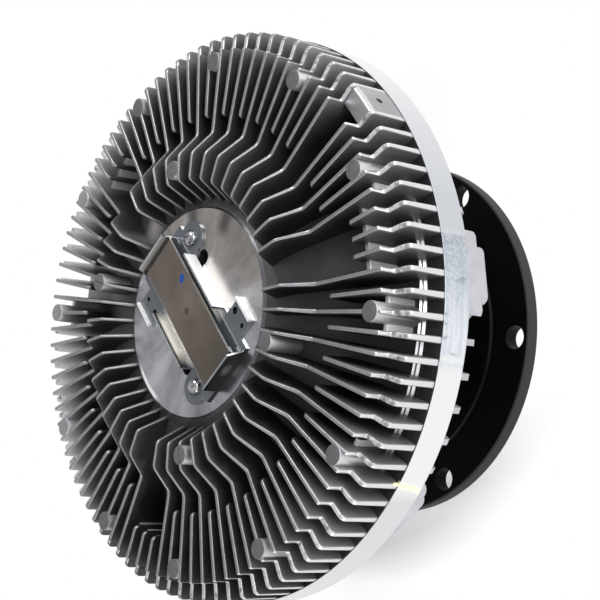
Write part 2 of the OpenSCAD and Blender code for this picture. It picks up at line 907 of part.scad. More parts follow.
module bracket_screws() {
    head_z = disc_z + sheet_t;
    top_z = head_z + bracket_head_h;
    color("silver")
        rotate([0, 0, strip_angle])
            around(2)
                translate([-screw_a, screw_b, 0])
                    difference() {
                        union() {
                            translate([0, 0, head_z])
                                cylinder(r = bracket_head_r, h = bracket_head_h);
                            translate([0, 0, disc_z - reservoir_wall + 2 * cut])
                                cylinder(r = bracket_screw_r, h = reservoir_wall);
                        }
                        for (turn = [0, 90])
                            rotate([0, 0, turn])
                                block([-bracket_head_r / 2, -slot_w / 2, top_z - slot_depth],
                                      [bracket_head_r / 2, slot_w / 2, top_z + cut]);
                    }
}

module cover_seal() {
    color([0.1, 0.1, 0.1])
        translate([0, 0, joint_z - cover_groove_h / 2])
            rotate_extrude()
                translate([cover_seal_circle, 0])
                    circle(r = cover_seal_r);
}

module cover_screws() {
    seat_z = wall_z + spot_face;
    color("dimgray")
        around(cover_screws_n, cover_screw_phase)
            translate([cover_screw_circle, 0, 0])
                difference() {
                    union() {
                        translate([0, 0, seat_z - cover_head_h])
                            cylinder(r = cover_head_r, h = cover_head_h);
                        translate([0, 0, seat_z - cut])
                            cylinder(r = cover_screw_r, h = cover_screw_l + cut);
                    }
                    translate([0, 0, seat_z - cover_head_h - cut])
                        cylinder(r = cover_socket_r, h = cover_socket_depth + cut, $fn = hex_count);
                }
}

front_casting();
rear_housing();
drive_flange();
strip_bracket();
bracket_screws();
bimetal_strip();
bearing_inner_ring();
bearing_outer_ring();
bearing_balls();
bearing_cage();
bearing_seal_front();
bearing_seal_rear();
bearing_retainer();
rotor();
rotor_washer();
rotor_bolt();
separator_plate();
plate_screws();
valve_lever();
lever_pivot();
valve_pin();
pin_seal();
cover_seal();
cover_screws();
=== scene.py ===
# %% [markdown]
# A viscous fan clutch, dressed for its portrait.
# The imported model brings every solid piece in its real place, in metres: the axis is Z, the black drive
# flange lies on the floor and the fins point up. This lesson keeps those solids, gives each metal its own
# finish, and rebuilds the finned front casting with the soft edges that a casting has.

# %% Load the frame
import json
import math

import bmesh
import bpy
from mathutils import Matrix, Vector
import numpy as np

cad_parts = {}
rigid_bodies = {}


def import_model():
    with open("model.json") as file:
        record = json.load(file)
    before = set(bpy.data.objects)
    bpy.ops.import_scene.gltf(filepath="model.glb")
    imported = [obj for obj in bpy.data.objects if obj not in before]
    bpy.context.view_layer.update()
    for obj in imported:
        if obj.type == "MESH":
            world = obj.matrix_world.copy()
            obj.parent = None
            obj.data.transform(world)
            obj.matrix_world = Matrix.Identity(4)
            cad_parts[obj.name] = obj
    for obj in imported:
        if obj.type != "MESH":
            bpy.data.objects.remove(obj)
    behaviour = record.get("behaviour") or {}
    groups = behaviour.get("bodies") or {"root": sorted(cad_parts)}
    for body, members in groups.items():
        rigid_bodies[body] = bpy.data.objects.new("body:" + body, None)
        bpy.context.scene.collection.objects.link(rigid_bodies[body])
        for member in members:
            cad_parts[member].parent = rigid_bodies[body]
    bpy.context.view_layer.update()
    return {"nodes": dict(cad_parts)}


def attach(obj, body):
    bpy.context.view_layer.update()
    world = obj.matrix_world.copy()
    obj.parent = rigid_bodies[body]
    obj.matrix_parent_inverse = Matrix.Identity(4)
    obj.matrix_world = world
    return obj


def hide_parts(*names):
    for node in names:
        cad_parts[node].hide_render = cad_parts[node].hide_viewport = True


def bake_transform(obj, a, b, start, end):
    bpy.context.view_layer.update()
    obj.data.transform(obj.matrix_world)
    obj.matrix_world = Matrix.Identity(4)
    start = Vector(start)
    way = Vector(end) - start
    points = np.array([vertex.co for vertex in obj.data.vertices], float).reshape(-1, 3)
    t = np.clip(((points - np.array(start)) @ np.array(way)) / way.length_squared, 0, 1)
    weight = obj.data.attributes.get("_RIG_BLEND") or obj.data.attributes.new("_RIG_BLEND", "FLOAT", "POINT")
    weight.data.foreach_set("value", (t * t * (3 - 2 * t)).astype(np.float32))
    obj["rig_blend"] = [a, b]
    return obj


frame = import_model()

MM = 0.001

# %% [markdown]
# The camera stands where the photographer stood. Its place was solved from the ellipses of the rim, of the
# centre face and of the flange, so it is written down as a point and two directions. A camera could also be
# aimed with a constraint, but a plain matrix says exactly what it does and nothing can move it later.

# %% Camera
CAMERA_AT = Vector((0.5869, -0.0404, 0.5857))
CAMERA_RIGHT = Vector((0.6560, 0.0789, -0.7506)).normalized()
CAMERA_BACK = Vector((0.7547, -0.0686, 0.6525)).normalized()
CAMERA_UP = CAMERA_BACK.cross(CAMERA_RIGHT)
LENS_MM, SENSOR_MM, NEAREST = 90.41, 36.0, 0.05


def stand(name, data):
    """Puts a mesh, a lamp or a camera into the scene as an object at the origin."""
    made = bpy.data.objects.new(name, data)
    bpy.context.scene.collection.objects.link(made)
    return made


camera = stand("camera", bpy.data.cameras.new("camera"))
turn = Matrix((CAMERA_RIGHT, CAMERA_UP, CAMERA_BACK)).transposed()
camera.matrix_world = Matrix.Translation(CAMERA_AT) @ turn.to_4x4()
camera.data.lens, camera.data.sensor_width = LENS_MM, SENSOR_MM
camera.data.clip_start = NEAREST
bpy.context.scene.camera = camera
print("camera at", [round(value, 3) for value in CAMERA_AT], "lens", LENS_MM)

# %% [markdown]
# Every finish below is a small formula over the surface. To write such formulas as formulas, one class wraps
# a socket: plus, minus and the other signs add a Math node each, also with a number on the left. One method,
# make, adds any other node: its settings are set first, then its sockets get values or links.


# %% Formulas for finishes
class Wire:
    """A socket of a node tree that can be used in a formula."""

    def __init__(self, tree, socket=None):
        self.tree = tree
        self.socket = socket

    def make(self, kind, settings=None, sockets=None, out=0):
        """Adds a node to the tree and gives one of its outputs."""
        node = self.tree.nodes.new(kind)
        for name, value in (settings or {}).items():
            setattr(node, name, value)
        for name, value in (sockets or {}).items():
            if isinstance(value, Wire):
                self.tree.links.new(value.socket, node.inputs[name])
            else:
                node.inputs[name].default_value = value
        return Wire(self.tree, node.outputs[out])

    def close(self, kind):
        """Ends the tree: this wire is the surface of an output node."""
        output = self.tree.nodes.new(kind)
        self.tree.links.new(self.socket, output.inputs["Surface"])

    def axes(self):
        """The three numbers of a place."""
        return [self.make("ShaderNodeSeparateXYZ", None, {0: self}, out=i) for i in range(3)]

    def math(self, operation, *values, clamp=False):
        settings = {"operation": operation, "use_clamp": clamp}
        return self.make("ShaderNodeMath", settings, dict(enumerate(values)))

    def __add__(self, other):
        return self.math("ADD", self, other)

    def __radd__(self, other):
        return self.math("ADD", other, self)

    def __sub__(self, other):
        return self.math("SUBTRACT", self, other)

    def __rsub__(self, other):
        return self.math("SUBTRACT", other, self)

    def __mul__(self, other):
        return self.math("MULTIPLY", self, other)

    def __rmul__(self, other):
        return self.math("MULTIPLY", other, self)

    def __truediv__(self, other):
        return self.math("DIVIDE", self, other)

    def __rtruediv__(self, other):
        return self.math("DIVIDE", other, self)

    def __mod__(self, other):
        return self.math("FLOORED_MODULO", self, other)

    def __lt__(self, other):
        return self.math("LESS_THAN", self, other)

    def __gt__(self, other):
        return self.math("GREATER_THAN", self, other)

    def __abs__(self):
        return self.math("ABSOLUTE", self)

    def clamped(self):
        return self.math("ADD", self, 0.0, clamp=True)

    def rise(self, low, high):
        """0 below low, 1 above high, and a straight ramp between them."""
        return ((self - low) / (high - low)).clamped()

    def fall(self, low, high):
        """1 below low, 0 above high, and a straight ramp between them."""
        return self.rise(high, low)


print("formulas ready")

# %% [markdown]
# A few words are needed again and again: paint lays one colour over another as far as a mask says, noise and
# line_noise give clouds and lines, and bump turns a height into a slope. A sharp solid looks like a drawing.
# So bump can also round its edges, in the normal alone, and they catch the light as real edges do.

# %% Words of the finishes
WHITE = (1.0, 1.0, 1.0)
GRAIN_HEIGHT = 0.3 * MM


def paint(under, cover, colour):
    """A colour laid over another one, from none at cover 0 to all of it at cover 1."""
    under, colour = [c if isinstance(c, Wire) else (*c, 1.0) for c in (under, colour)]
    return cover.make("ShaderNodeMix", {"data_type": "RGBA"}, {0: cover, 6: under, 7: colour}, out=2)


def distance(a, b):
    """Length of the straight way over two legs at a right angle."""
    return a.math("SQRT", a * a + b * b)


def noise(place, scale, detail=3.0, rough=0.55):
    """A cloudy value between 0 and 1."""
    sockets = {"Vector": place, "Scale": scale, "Detail": detail, "Roughness": rough}
    return place.make("ShaderNodeTexNoise", None, sockets)


def line_noise(first, second, detail):
    """Noise over two numbers. The one that changes faster crosses the lines, the other runs along them."""
    spot = first.make("ShaderNodeCombineXYZ", None, {0: first, 1: second})
    sockets = {"Vector": spot, "Scale": 1.0, "Detail": detail}
    return first.make("ShaderNodeTexNoise", {"noise_dimensions": "2D"}, sockets)


def bump(height, strength, lift=GRAIN_HEIGHT, edge_round=0.0):
    """A normal from a height field, with rounded edges where a radius is given."""
    sockets = {"Height": height, "Strength": strength, "Distance": lift}
    if edge_round:
        sockets["Normal"] = height.make("ShaderNodeBevel", {"samples": 6}, {"Radius": edge_round})
    return height.make("ShaderNodeBump", None, sockets)


def new_finish(name):
    """An empty material, the place on the piece and that place's three numbers."""
    material = bpy.data.materials.new(name)
    material.use_nodes = True
    material.node_tree.nodes.clear()
    place = Wire(material.node_tree).make("ShaderNodeTexCoord", out="Object")
    return material, place, place.axes()


def close_finish(sockets):
    """Ends a material in one Principled shader. The colour always varies, so its wire knows the tree."""
    shader = sockets["Base Color"].make("ShaderNodeBsdfPrincipled", None, sockets)
    shader.close("ShaderNodeOutputMaterial")


print("words ready")

# %% [markdown]
# Floor and light. The photograph was taken on a white sweep: the ground is white, and a soft shadow lies
# under the flange. Bare metal shows what surrounds it, so the surroundings matter more than any lamp: white
# on the right, where the rim looks, and grey on the front left, where the centre face looks.

# %% Floor
FLOOR_SIZE = 8.0
PAPER_WHITE = (0.84, 0.845, 0.87, 1.0)
SHADE_DEPTH, SHADE_MORE = 0.5, 0.35
SHADE_X, SHADE_Y = -40 * MM, 20 * MM

half = FLOOR_SIZE / 2
corners = [(-half, -half, 0), (half, -half, 0), (half, half, 0), (-half, half, 0)]
floor_mesh = bpy.data.meshes.new("floor")
floor_mesh.from_pydata(corners, [], [(0, 1, 2, 3)])
floor = stand("floor", floor_mesh)

floor_finish, place, (x, y, z) = new_finish("white_sweep")
seen = (place.make("ShaderNodeLightPath", out="Is Camera Ray") +
        place.make("ShaderNodeLightPath", out="Is Glossy Ray"))
# Painted shadow: the floor's white glow is dimmed under the rim, below the flange and behind it, fading outwards.
painted_shadow_under_rim = distance(x - SHADE_X, y - SHADE_Y).fall(138 * MM, 160 * MM) * (y - 0.35 * x).fall(-95 * MM, -60 * MM)
below = (SHADE_DEPTH + SHADE_MORE * y.fall(-125 * MM, -90 * MM)) * painted_shadow_under_rim
painted_shadow_behind = SHADE_DEPTH * distance(x, y).fall(90 * MM, 155 * MM) * x.fall(-30 * MM, 20 * MM)
glow = seen * (1.0 - place.math("MAXIMUM", below, painted_shadow_behind))
paper = place.make("ShaderNodeBsdfDiffuse", None, {"Color": PAPER_WHITE})
white = place.make("ShaderNodeEmission", None, {"Color": (*WHITE, 1.0), "Strength": 1.0})
place.make("ShaderNodeMixShader", None, {0: glow, 1: paper, 2: white}).close("ShaderNodeOutputMaterial")
floor_mesh.materials.append(floor_finish)
print("floor", FLOOR_SIZE, "m across")

# %% World and lamps
GREY, LESS_ABOVE, MORE_RIGHT, BLUER = 0.50, 0.16, 0.55, 1.02

world = bpy.data.worlds.new("studio")
bpy.context.scene.world = world
world.use_nodes = True
world.node_tree.nodes.clear()
way = Wire(world.node_tree).make("ShaderNodeTexCoord", out="Generated")
way_x, way_y, way_z = way.axes()
right = way_x.rise(0.05, 0.75) * way_z.fall(0.35, 0.75)
level = GREY - LESS_ABOVE * way_y.rise(0.2, 0.9) + MORE_RIGHT * right
room = way.make("ShaderNodeCombineColor", None, {0: level, 1: level, 2: level * BLUER})
sky = paint(room, way.make("ShaderNodeLightPath", out="Is Camera Ray"), WHITE)
way.make("ShaderNodeBackground", None, {"Color": sky, "Strength": 1.0}).close("ShaderNodeOutputWorld")

# Name, place, width, height and power of each soft lamp
LAMPS = (("key_right", (1.1, 0.5, 0.45), 0.9, 0.9, 8.0), ("fill_top", (0.5, 1.2, 0.3), 1.0, 0.6, 6.0),
         ("rim_low", (0.35, -1.1, 0.3), 0.9, 0.5, 4.0), ("front_top", (-0.1, 0.9, 0.95), 0.5, 0.5, 4.0))
LAMP_AIM = Vector((0.0, 0.0, 0.11))
for name, at, width, height, power in LAMPS:
    lamp = stand(name, bpy.data.lights.new(name, "AREA"))
    lamp.data.shape = "RECTANGLE"
    lamp.data.size, lamp.data.size_y, lamp.data.energy = width, height, power
    lamp.location = at
    lamp.rotation_mode = "QUATERNION"
    lamp.rotation_quaternion = (LAMP_AIM - Vector(at)).to_track_quat("-Z", "Y")
bpy.context.scene.view_settings.view_transform = "Standard"

# %% [markdown]
# The front casting follows a rule: ninety thin fins at four degrees, long and short in turn, with three
# pockets where the fins are shortest. Its sizes come first and are named, because its finish changes at the
# same places as its shape: the lathe has cut it at exact radii and heights.

# %% Sizes of the front casting
RIM_R, RIM_Z = 140.0 * MM, 117.0 * MM
BAND_W, BAND_CHAMFER = 16.5 * MM, 1.2 * MM
FIN_OUT_R, LEDGE_R = 139.6 * MM, 130.0 * MM
FIN_ROOT_T, FIN_TIP_T, PLATEAU_H = 3.4 * MM, 1.5 * MM, 40.0 * MM
SHOULDER_H, SHOULDER_ROUND, FRONT_H = 20.8 * MM, 2.6 * MM, 28.7 * MM
RAMP_LOW_R, RAMP_HIGH_R, PLATEAU_R = 88.4 * MM, 76.8 * MM, 63.8 * MM
SHORT_R, POCKET_SHORT_R, SHORT_ROUND = 96.2 * MM, 112.0 * MM, 2.6 * MM
STEP_RING_R, STEP_RING_H, DISC_FOOT_R, FLOOR_IN_H = 128.9 * MM, 3.1 * MM, 57.0 * MM, 23.8 * MM
DISC_R, DISC_Z, DISC_CHAMFER = 51.2 * MM, 144.9 * MM, 1.0 * MM
FIN_COUNT, FIN_PHASE, SECTOR, POCKET_MID, PAD_FIN = 90, math.radians(0.5), 30, 4, 11
FIN_STEP = math.tau / FIN_COUNT
ROOT_SINK, EDGE_ROUND = 3.0 * MM, 0.6 * MM
OUTER_CIRCLE, WEB_T, WEB_H = 123.9 * MM, 2.4 * MM, 19.2 * MM
print("fins:", FIN_COUNT, "pitch at the rim, mm:", round(RIM_R * FIN_STEP / MM, 2))

# %% [markdown]
# The casting is turned where it must run true and raw where it need not. One finish covers it. The mesh
# carries three numbers: turned, for what the lathe has cut and left bright, and on the webs' sides a painted
# highlight; front, for the edges that look forwards; and deep, for the walls down in the gaps, which the light
# hardly reaches and which deep paints dark as shade.

# %% Finish of the front casting
casting_finish, place, (x, y, z) = new_finish("cast_aluminium_front")
radius, angle = distance(x, y), place.math("ARCTAN2", y, x)
turn_deg = angle * (180.0 / math.pi)
right_way, up_way = x / radius, y / radius
turned, front, deep = [place.make("ShaderNodeAttribute", {"attribute_name": name}, out="Fac")
                       for name in ("turned", "front", "deep")]
grain = noise(place, 900.0, 4.0, 0.6)
mottle = noise(place, 260.0, 3.0, 0.6)
cloud = noise(place, 38.0, 4.0, 0.6)

# Painted light and shade: gaps high up and low down are painted darker, those on the left and near the centre face
# lighter, as some gaps see more of the room than others
lit_ends = 0.85 * radius.rise(121 * MM, 131 * MM) * right_way.rise(0.10, 0.40) * up_way.rise(0.45, 0.75)
top_side = up_way.rise(0.1, 0.75) * radius.rise(75 * MM, 95 * MM) * (1.0 - lit_ends)
low_side = up_way.fall(-0.85, -0.55) * right_way.fall(0.35, 0.75) * radius.rise(95 * MM, 115 * MM)
left_side = right_way.fall(-0.85, -0.55) * radius.rise(105 * MM, 125 * MM)
left_inside = right_way.fall(-0.85, -0.40) * radius.fall(100 * MM, 115 * MM)
near_disc = radius.fall(85 * MM, 100 * MM) * right_way.fall(0.60, 0.85)
near_disc = near_disc + up_way.rise(0.2, 0.6) * right_way.rise(0.0, 0.4) * radius.fall(90 * MM, 110 * MM)
deep = deep + (1.0 - deep) * (0.65 * top_side + 0.9 * low_side).clamped()
deep = deep * (1.0 - 0.75 * left_side) * (1.0 - 0.08 * left_inside) * (1.0 - 0.08 * near_disc)

raw = paint((0.29, 0.29, 0.30), cloud.rise(0.3, 0.7), (0.46, 0.46, 0.47))
# Painted light and shade: the raw skin on the left is lighter, and deep darkens the walls towards near black.
raw = paint(raw, left_side * 0.7, (0.66, 0.66, 0.68))
edges = paint((0.46, 0.455, 0.47), mottle.rise(0.35, 0.65), (0.56, 0.555, 0.57))
shade = paint(raw, deep, (0.022, 0.022, 0.025))
shade = paint(shade, front, edges)
shade = paint(shade, turned, (0.90, 0.90, 0.91))
print("finish", casting_finish.name, "raw, deep, front and turned shades")

# %% [markdown]
# Three things on the fins catch the eye: the ledge that the lathe has cut into their ends, torn in places
# because the tool jumps from fin to fin; the tops of the webs, with a painted white highlight; and one warm
# gleam beside the centre face, a painted highlight. The front edges low on the right get a painted highlight too.

# %% Ledge, webs and a gleam
GLEAM_X, GLEAM_Y = -46.7 * MM, 43.7 * MM

# Painted highlight on the front edges low on the right.
lit_low = up_way.fall(-0.7, -0.3) * right_way.rise(-0.1, 0.25) * radius.rise(129 * MM, 131 * MM)
shade = paint(shade, (front * lit_low * 2.2).clamped(), (0.95, 0.95, 0.96))
ledge = radius.rise(LEDGE_R, LEDGE_R + 0.3 * MM) * radius.fall(136.6 * MM, 137.6 * MM)
ledge = ledge * abs(z - (RIM_Z + SHOULDER_H)).fall(0.3 * MM, 0.6 * MM)
torn = noise(place, 230.0, 3.0, 0.6).rise(0.50, 0.66)
shade = paint(shade, ledge * 0.8, (0.95, 0.95, 0.95))
shade = paint(shade, ledge * torn * 0.7, (0.08, 0.074, 0.07))
# Painted highlight: the tops of the webs are white.
web_top_highlight = front * abs(radius - OUTER_CIRCLE).fall(1.3 * MM, 1.6 * MM)
web_top_highlight = web_top_highlight * abs(z - (RIM_Z + WEB_H)).fall(0.7 * MM, 1.0 * MM)
shade = paint(shade, web_top_highlight, (0.96, 0.96, 0.96))
raw_skin = (1.0 - turned) * (1.0 - front)
# Painted highlight: a warm gleam on the raw skin beside the centre face.
gleam = distance(x - GLEAM_X, y - GLEAM_Y).fall(2 * MM, 10 * MM)
shade = paint(shade, gleam * raw_skin * 0.8, (0.72, 0.67, 0.67))
print("ledge at", round(LEDGE_R / MM, 1), "mm, webs at", round(OUTER_CIRCLE / MM, 1), "mm")

# %% [markdown]
# The lathe leaves fine rings on the centre face. Light runs across such rings in fans, like the shine on a
# pan's bottom; these fans are painted into the colour, so the face's shade depends on the direction from the axis
# and hardly on the distance. The bracket's bright walls are painted beside it as reflections on both sides, one
# side of the face is painted warmer, and under the holes in the bracket's tabs the face is painted black as shadow.

# %% The turned centre face
STRIP_TURN = math.radians(-45.0)
# Middle and half width in degrees, depth, and the radius where the fan starts
DARK_FANS = ((68.0, 9.0, 0.85, 38 * MM), (100.0, 7.0, 0.8, 38 * MM), (-78.0, 16.0, 0.5, 10 * MM),
             (178.0, 12.0, 0.4, 10 * MM))
# Place along and across the strip, and radius
TAB_HOLES = ((22.2 * MM, 23.4 * MM, 1.9 * MM), (31.5 * MM, 22.7 * MM, 1.3 * MM))
LIT_EDGE_DEG = -132.7


def strip_place(place):
    """The place in the strip's own directions: X runs along the strip and Y across it."""
    return place.make("ShaderNodeMapping", None, {"Vector": place, "Rotation": (0.0, 0.0, -STRIP_TURN)})


# Painted reflections: one side of the face is warmer, and fans of light and shade run round the axis, a few of them
# darker still.
fan_place = place.make("ShaderNodeCombineXYZ", None, {0: right_way, 1: up_way, 2: radius * 9.0})
fans = noise(fan_place, 2.3)
disc = paint((0.60, 0.60, 0.65), (x * 0.3 + y).rise(-5 * MM, 35 * MM), (0.50, 0.47, 0.43))
disc = paint(disc, mottle.rise(0.5, 0.7) * 0.3, (0.28, 0.28, 0.31))
disc = paint(disc, fans.fall(0.30, 0.52) * 0.75, (0.20, 0.19, 0.19))
disc = paint(disc, fans.rise(0.56, 0.72) * 0.7, (0.92, 0.91, 0.92))
for middle, width, depth, from_r in DARK_FANS:
    aside = abs((turn_deg - middle + 180.0) % 360.0 - 180.0)
    fan = aside.fall(0.2 * width, width) * radius.rise(from_r, from_r + 6 * MM)
    disc = paint(disc, fan * depth, (0.11, 0.105, 0.105))
along, across, _ = strip_place(place).axes()
side = place.math("SIGN", across)
# Painted reflection of the bracket's bright walls, on both sides of it.
beside = abs(across).fall(18.5 * MM, 25.5 * MM) * abs(along * side - 2 * MM).fall(12 * MM, 17 * MM)
disc = paint(disc, beside * 0.9, (0.78, 0.76, 0.71))
# Painted shadow: black under the holes in the bracket's tabs.
for a, b, r in TAB_HOLES:
    disc = paint(disc, distance(along * side - a, abs(across) - b).fall(r, 1.3 * r), (0.01, 0.01, 0.01))
on_disc = radius.fall(DISC_R - 0.2 * MM, DISC_R + 0.2 * MM) * z.rise(DISC_Z - 0.9 * MM, DISC_Z - 0.3 * MM)
shade = paint(shade, on_disc, disc)

foot_r, foot_z = DISC_R + DISC_CHAMFER, DISC_Z - DISC_CHAMFER
disc_edge = radius.fall(foot_r, foot_r + 0.4 * MM) * z.rise(foot_z - 0.9 * MM, foot_z - 0.3 * MM)
shade = paint(shade, disc_edge * radius.rise(DISC_R - 0.2 * MM, DISC_R), (0.20, 0.20, 0.21))
# Painted highlight: a white arc on one side of the face's edge.
lit_edge = disc_edge * radius.rise(DISC_R - 2.0 * MM, DISC_R - 1.8 * MM) * abs(turn_deg - LIT_EDGE_DEG).fall(9.0, 15.0)
shade = paint(shade, lit_edge, WHITE)
print("centre face: fans of light round the axis,", len(DARK_FANS), "dark ones")

# %% [markdown]
# The rim is turned too, and handled: fine lines run round it, one stretch on the right is scratched and has a
# painted reflection, darker and bluer, the stretches beyond it are painted greyer as reflection, and somebody has
# drawn a yellow line across it, as fitters do when they mark a balanced pair.

# %% The turned rim and its yellow mark
DULL_START, DULL_END, POLISHED_DEG = (-9.0, -7.4), (15.7, 16.7), -6.7
MARK_AT, MARK_Z, MARK_LEAN = math.radians(-31.6), 109.1 * MM, math.radians(1.1) / (12.3 * MM)

on_band = radius.rise(RIM_R - 0.3 * MM, RIM_R - 0.1 * MM)
band_lines = line_noise(z * 420.0, angle * 5.0, 4.0)
scuffs = line_noise(z * 90.0, angle * 34.0, 5.0)
specks = noise(place, 620.0, 4.0, 0.7)
# The dull stretch: real scratches and specks over a painted reflection that is darker and bluer.
dull = turn_deg.rise(*DULL_START) * turn_deg.fall(*DULL_END) * on_band
scuffs_over_painted_reflection = paint((0.80, 0.84, 0.89), turn_deg.rise(-2.0, 14.0), (0.42, 0.46, 0.52))
scuffs_over_painted_reflection = paint(scuffs_over_painted_reflection, specks.rise(0.44, 0.62) * 0.45, (0.92, 0.94, 0.97))
scuffs_over_painted_reflection = paint(scuffs_over_painted_reflection, band_lines.fall(0.36, 0.56) * 0.3, (0.42, 0.47, 0.54))
scuffs_over_painted_reflection = paint(scuffs_over_painted_reflection, scuffs.rise(0.62, 0.76) * 0.5, (0.26, 0.30, 0.35))
polished = abs(turn_deg - POLISHED_DEG).fall(0.3, 0.9) * 0.8
shade = paint(shade, dull * (1.0 - polished), scuffs_over_painted_reflection)
# Painted reflection: the rim is greyer below the yellow mark and a little darker above the dull stretch.
lower = turn_deg.fall(-35.0, -32.0) * turn_deg.rise(-170.0, -120.0) * on_band
shade = paint(shade, lower * 0.5, (0.55, 0.56, 0.58))
upper = turn_deg.rise(*DULL_END) * turn_deg.fall(22.0, 60.0) * on_band
shade = paint(shade, upper * (0.9 + 0.4 * (cloud - 0.5)), (0.60, 0.62, 0.66))
from_mark = abs(angle - MARK_AT - (z - MARK_Z) * MARK_LEAN) + noise(place, 260.0, 2.0) * 0.014
reached = radius.rise(RIM_R - BAND_CHAMFER, RIM_R - 1.0 * MM) * z.fall(RIM_Z + 2.5 * MM, RIM_Z + 3.3 * MM)
mark = from_mark.fall(0.011, 0.021) * reached
shade = paint(shade, mark * 0.9, (0.94, 0.93, 0.60))
print("rim: lines, dull stretch and mark at", round(math.degrees(MARK_AT), 1), "degrees")

# %% [markdown]
# All that is left is to say how smooth and how metallic each part of the casting is. Where a shade stands for
# a bright reflection, less of it is metal, so that it stays bright from every side. The grain is only on the
# raw skin, and the rings only on the centre face.

# %% Gloss and grain of the front casting
rough = 0.46 - 0.16 * turned - 0.14 * front + 0.10 * (grain - 0.5) + 0.10 * (cloud - 0.5)
rough = rough + mark * 0.2 - 0.06 * on_disc
web_side = turned * radius.rise(110 * MM, 114 * MM) * radius.fall(127.2 * MM, 127.6 * MM)
metal = 1.0 - mark
for cover, loss in ((lit_edge, 0.95), (web_side, 0.85), (web_top_highlight, 0.7), (raw_skin, 0.4)):
    metal = metal * (1.0 - loss * cover)
ring_sockets = {"W": radius * 2600.0, "Scale": 1.0, "Detail": 2.0}
rings = place.make("ShaderNodeTexNoise", {"noise_dimensions": "1D"}, ring_sockets)
relief = (grain * 0.6 + mottle * 0.4) * (1.0 - turned) + rings * on_disc * 0.3
close_finish({"Base Color": shade, "Roughness": rough.clamped(), "Metallic": metal, "Normal": bump(relief, 0.22)})
print("finish", casting_finish.name, "has", len(casting_finish.node_tree.nodes), "nodes")

# %% [markdown]
# Now the shape. One fin of each kind is drawn as a side view, given its thickness and its round edges. A fin
# could also be a thin box with a Bevel modifier, but its side view has a plateau, a ramp, a ledge and a
# shoulder, and an outline says that best. A few cuts give it corners inside, which carry the numbers.

# %% Outlines with round corners


def gap_floor(r):
    """Height of the casting's skin between the fins."""
    if r >= STEP_RING_R:
        return RIM_Z + 1.0 * MM
    t = min((STEP_RING_R - r) / (STEP_RING_R - DISC_FOOT_R), 1.0)
    return RIM_Z + STEP_RING_H + (FLOOR_IN_H - STEP_RING_H) * (1 - math.cos(math.pi * t)) / 2


def round_corners(points, radii, steps=5):
    """A polygon in which the corners that have a radius are drawn as arcs."""
    out = []
    for i, corner in enumerate(points):
        here = Vector(corner)
        if i not in radii:
            out.append(here)
            continue
        back = (Vector(points[i - 1]) - here).normalized()
        ahead = (Vector(points[(i + 1) % len(points)]) - here).normalized()
        half_angle = back.angle(ahead) / 2
        reach = radii[i] / math.tan(half_angle)
        centre = here + (back + ahead).normalized() * (radii[i] / math.sin(half_angle))
        first, last = here + back * reach - centre, here + ahead * reach - centre
        a0 = math.atan2(first.y, first.x)
        sweep = (math.atan2(last.y, last.x) - a0 + math.pi) % math.tau - math.pi
        for k in range(steps + 1):
            a = a0 + sweep * k / steps
            out.append(centre + Vector((math.cos(a), math.sin(a))) * radii[i])
    return out


def fin_outline(kind):
    """Side view of a fin as radius and height, with round corners."""
    inner = {"long": DISC_FOOT_R - 2 * MM, "short": SHORT_R, "pocket": POCKET_SHORT_R}[kind]
    points = [(FIN_OUT_R, RIM_Z - ROOT_SINK), (FIN_OUT_R, RIM_Z + SHOULDER_H), (LEDGE_R, RIM_Z + SHOULDER_H),
              (LEDGE_R, RIM_Z + FRONT_H)]
    radii = {1: SHOULDER_ROUND, 2: 0.8 * MM, 3: 0.8 * MM}
    if kind == "long":
        points += [(RAMP_LOW_R, RIM_Z + FRONT_H), (RAMP_HIGH_R, RIM_Z + PLATEAU_H),
                   (PLATEAU_R, RIM_Z + PLATEAU_H), (inner, RIM_Z + FLOOR_IN_H)]
        radii.update({4: 4 * MM, 5: 5 * MM, 6: 3 * MM})
    else:
        points += [(inner, RIM_Z + FRONT_H), (inner, gap_floor(inner) - ROOT_SINK)]
        radii[4] = SHORT_ROUND
    outline = round_corners(points, radii)
    foot = 12
    for k in range(1, foot + 1):
        r = inner + (STEP_RING_R - inner) * k / foot
        outline.append(Vector((r, gap_floor(r) - ROOT_SINK)))
    outline.append(Vector((STEP_RING_R + MM, RIM_Z - ROOT_SINK)))
    return outline


print("points in a long fin's outline:", len(fin_outline("long")))

# %% From a shape to a mesh with its numbers


def ease(value, low, high):
    """The same ramp as rise, for plain numbers."""
    return min(max((value - low) / (high - low), 0.0), 1.0)


def to_mesh(shape, name, sharp_deg=None):
    """Ends a shape as a mesh. With an angle given it is smooth, apart from edges that are sharper than that."""
    if sharp_deg:
        for face in shape.faces:
            face.smooth = True
    mesh = bpy.data.meshes.new(name)
    shape.to_mesh(mesh)
    shape.free()
    if sharp_deg:
        mesh.set_sharp_from_angle(angle=math.radians(sharp_deg))
    return mesh


def mark_faces(mesh, turned_from, front_from, deep_from):
    """Stores the numbers that the casting's finish reads: two worked out face by face, depth corner by corner."""
    for name, rule in (("turned", turned_from), ("front", front_from)):
        layer = mesh.attributes.new(name, "FLOAT", "FACE")
        for face in mesh.polygons:
            layer.data[face.index].value = rule(face.center, face.normal)
    layer = mesh.attributes.new("deep", "FLOAT", "CORNER")
    for face in mesh.polygons:
        for corner in face.loop_indices:
            layer.data[corner].value = deep_from(mesh.vertices[mesh.loops[corner].vertex_index].co, face.normal)


print("meshes of the casting carry: turned, front, deep")

# %% One fin of each kind
# Cuts in millimetres: heights above the rim, and radii
FIN_CUTS_H = (3, 8, 13, 18, 23, 26, 28, 33, 36, 38)
FIN_CUTS_R = (60, 66, 72, 78, 84, 90, 97, 104, 111, 118, 125)


def put_in_order(shape):
    """Cuts leave the parts of a shape in a changing order. This sorts them along a slanting line."""
    line = Vector((1.0, 0.37, 0.61))
    shape.verts.sort(key=lambda vert: vert.co.dot(line))
    shape.edges.sort(key=lambda edge: (edge.verts[0].co + edge.verts[1].co).dot(line))
    shape.faces.sort(key=lambda face: face.calc_center_median().dot(line))


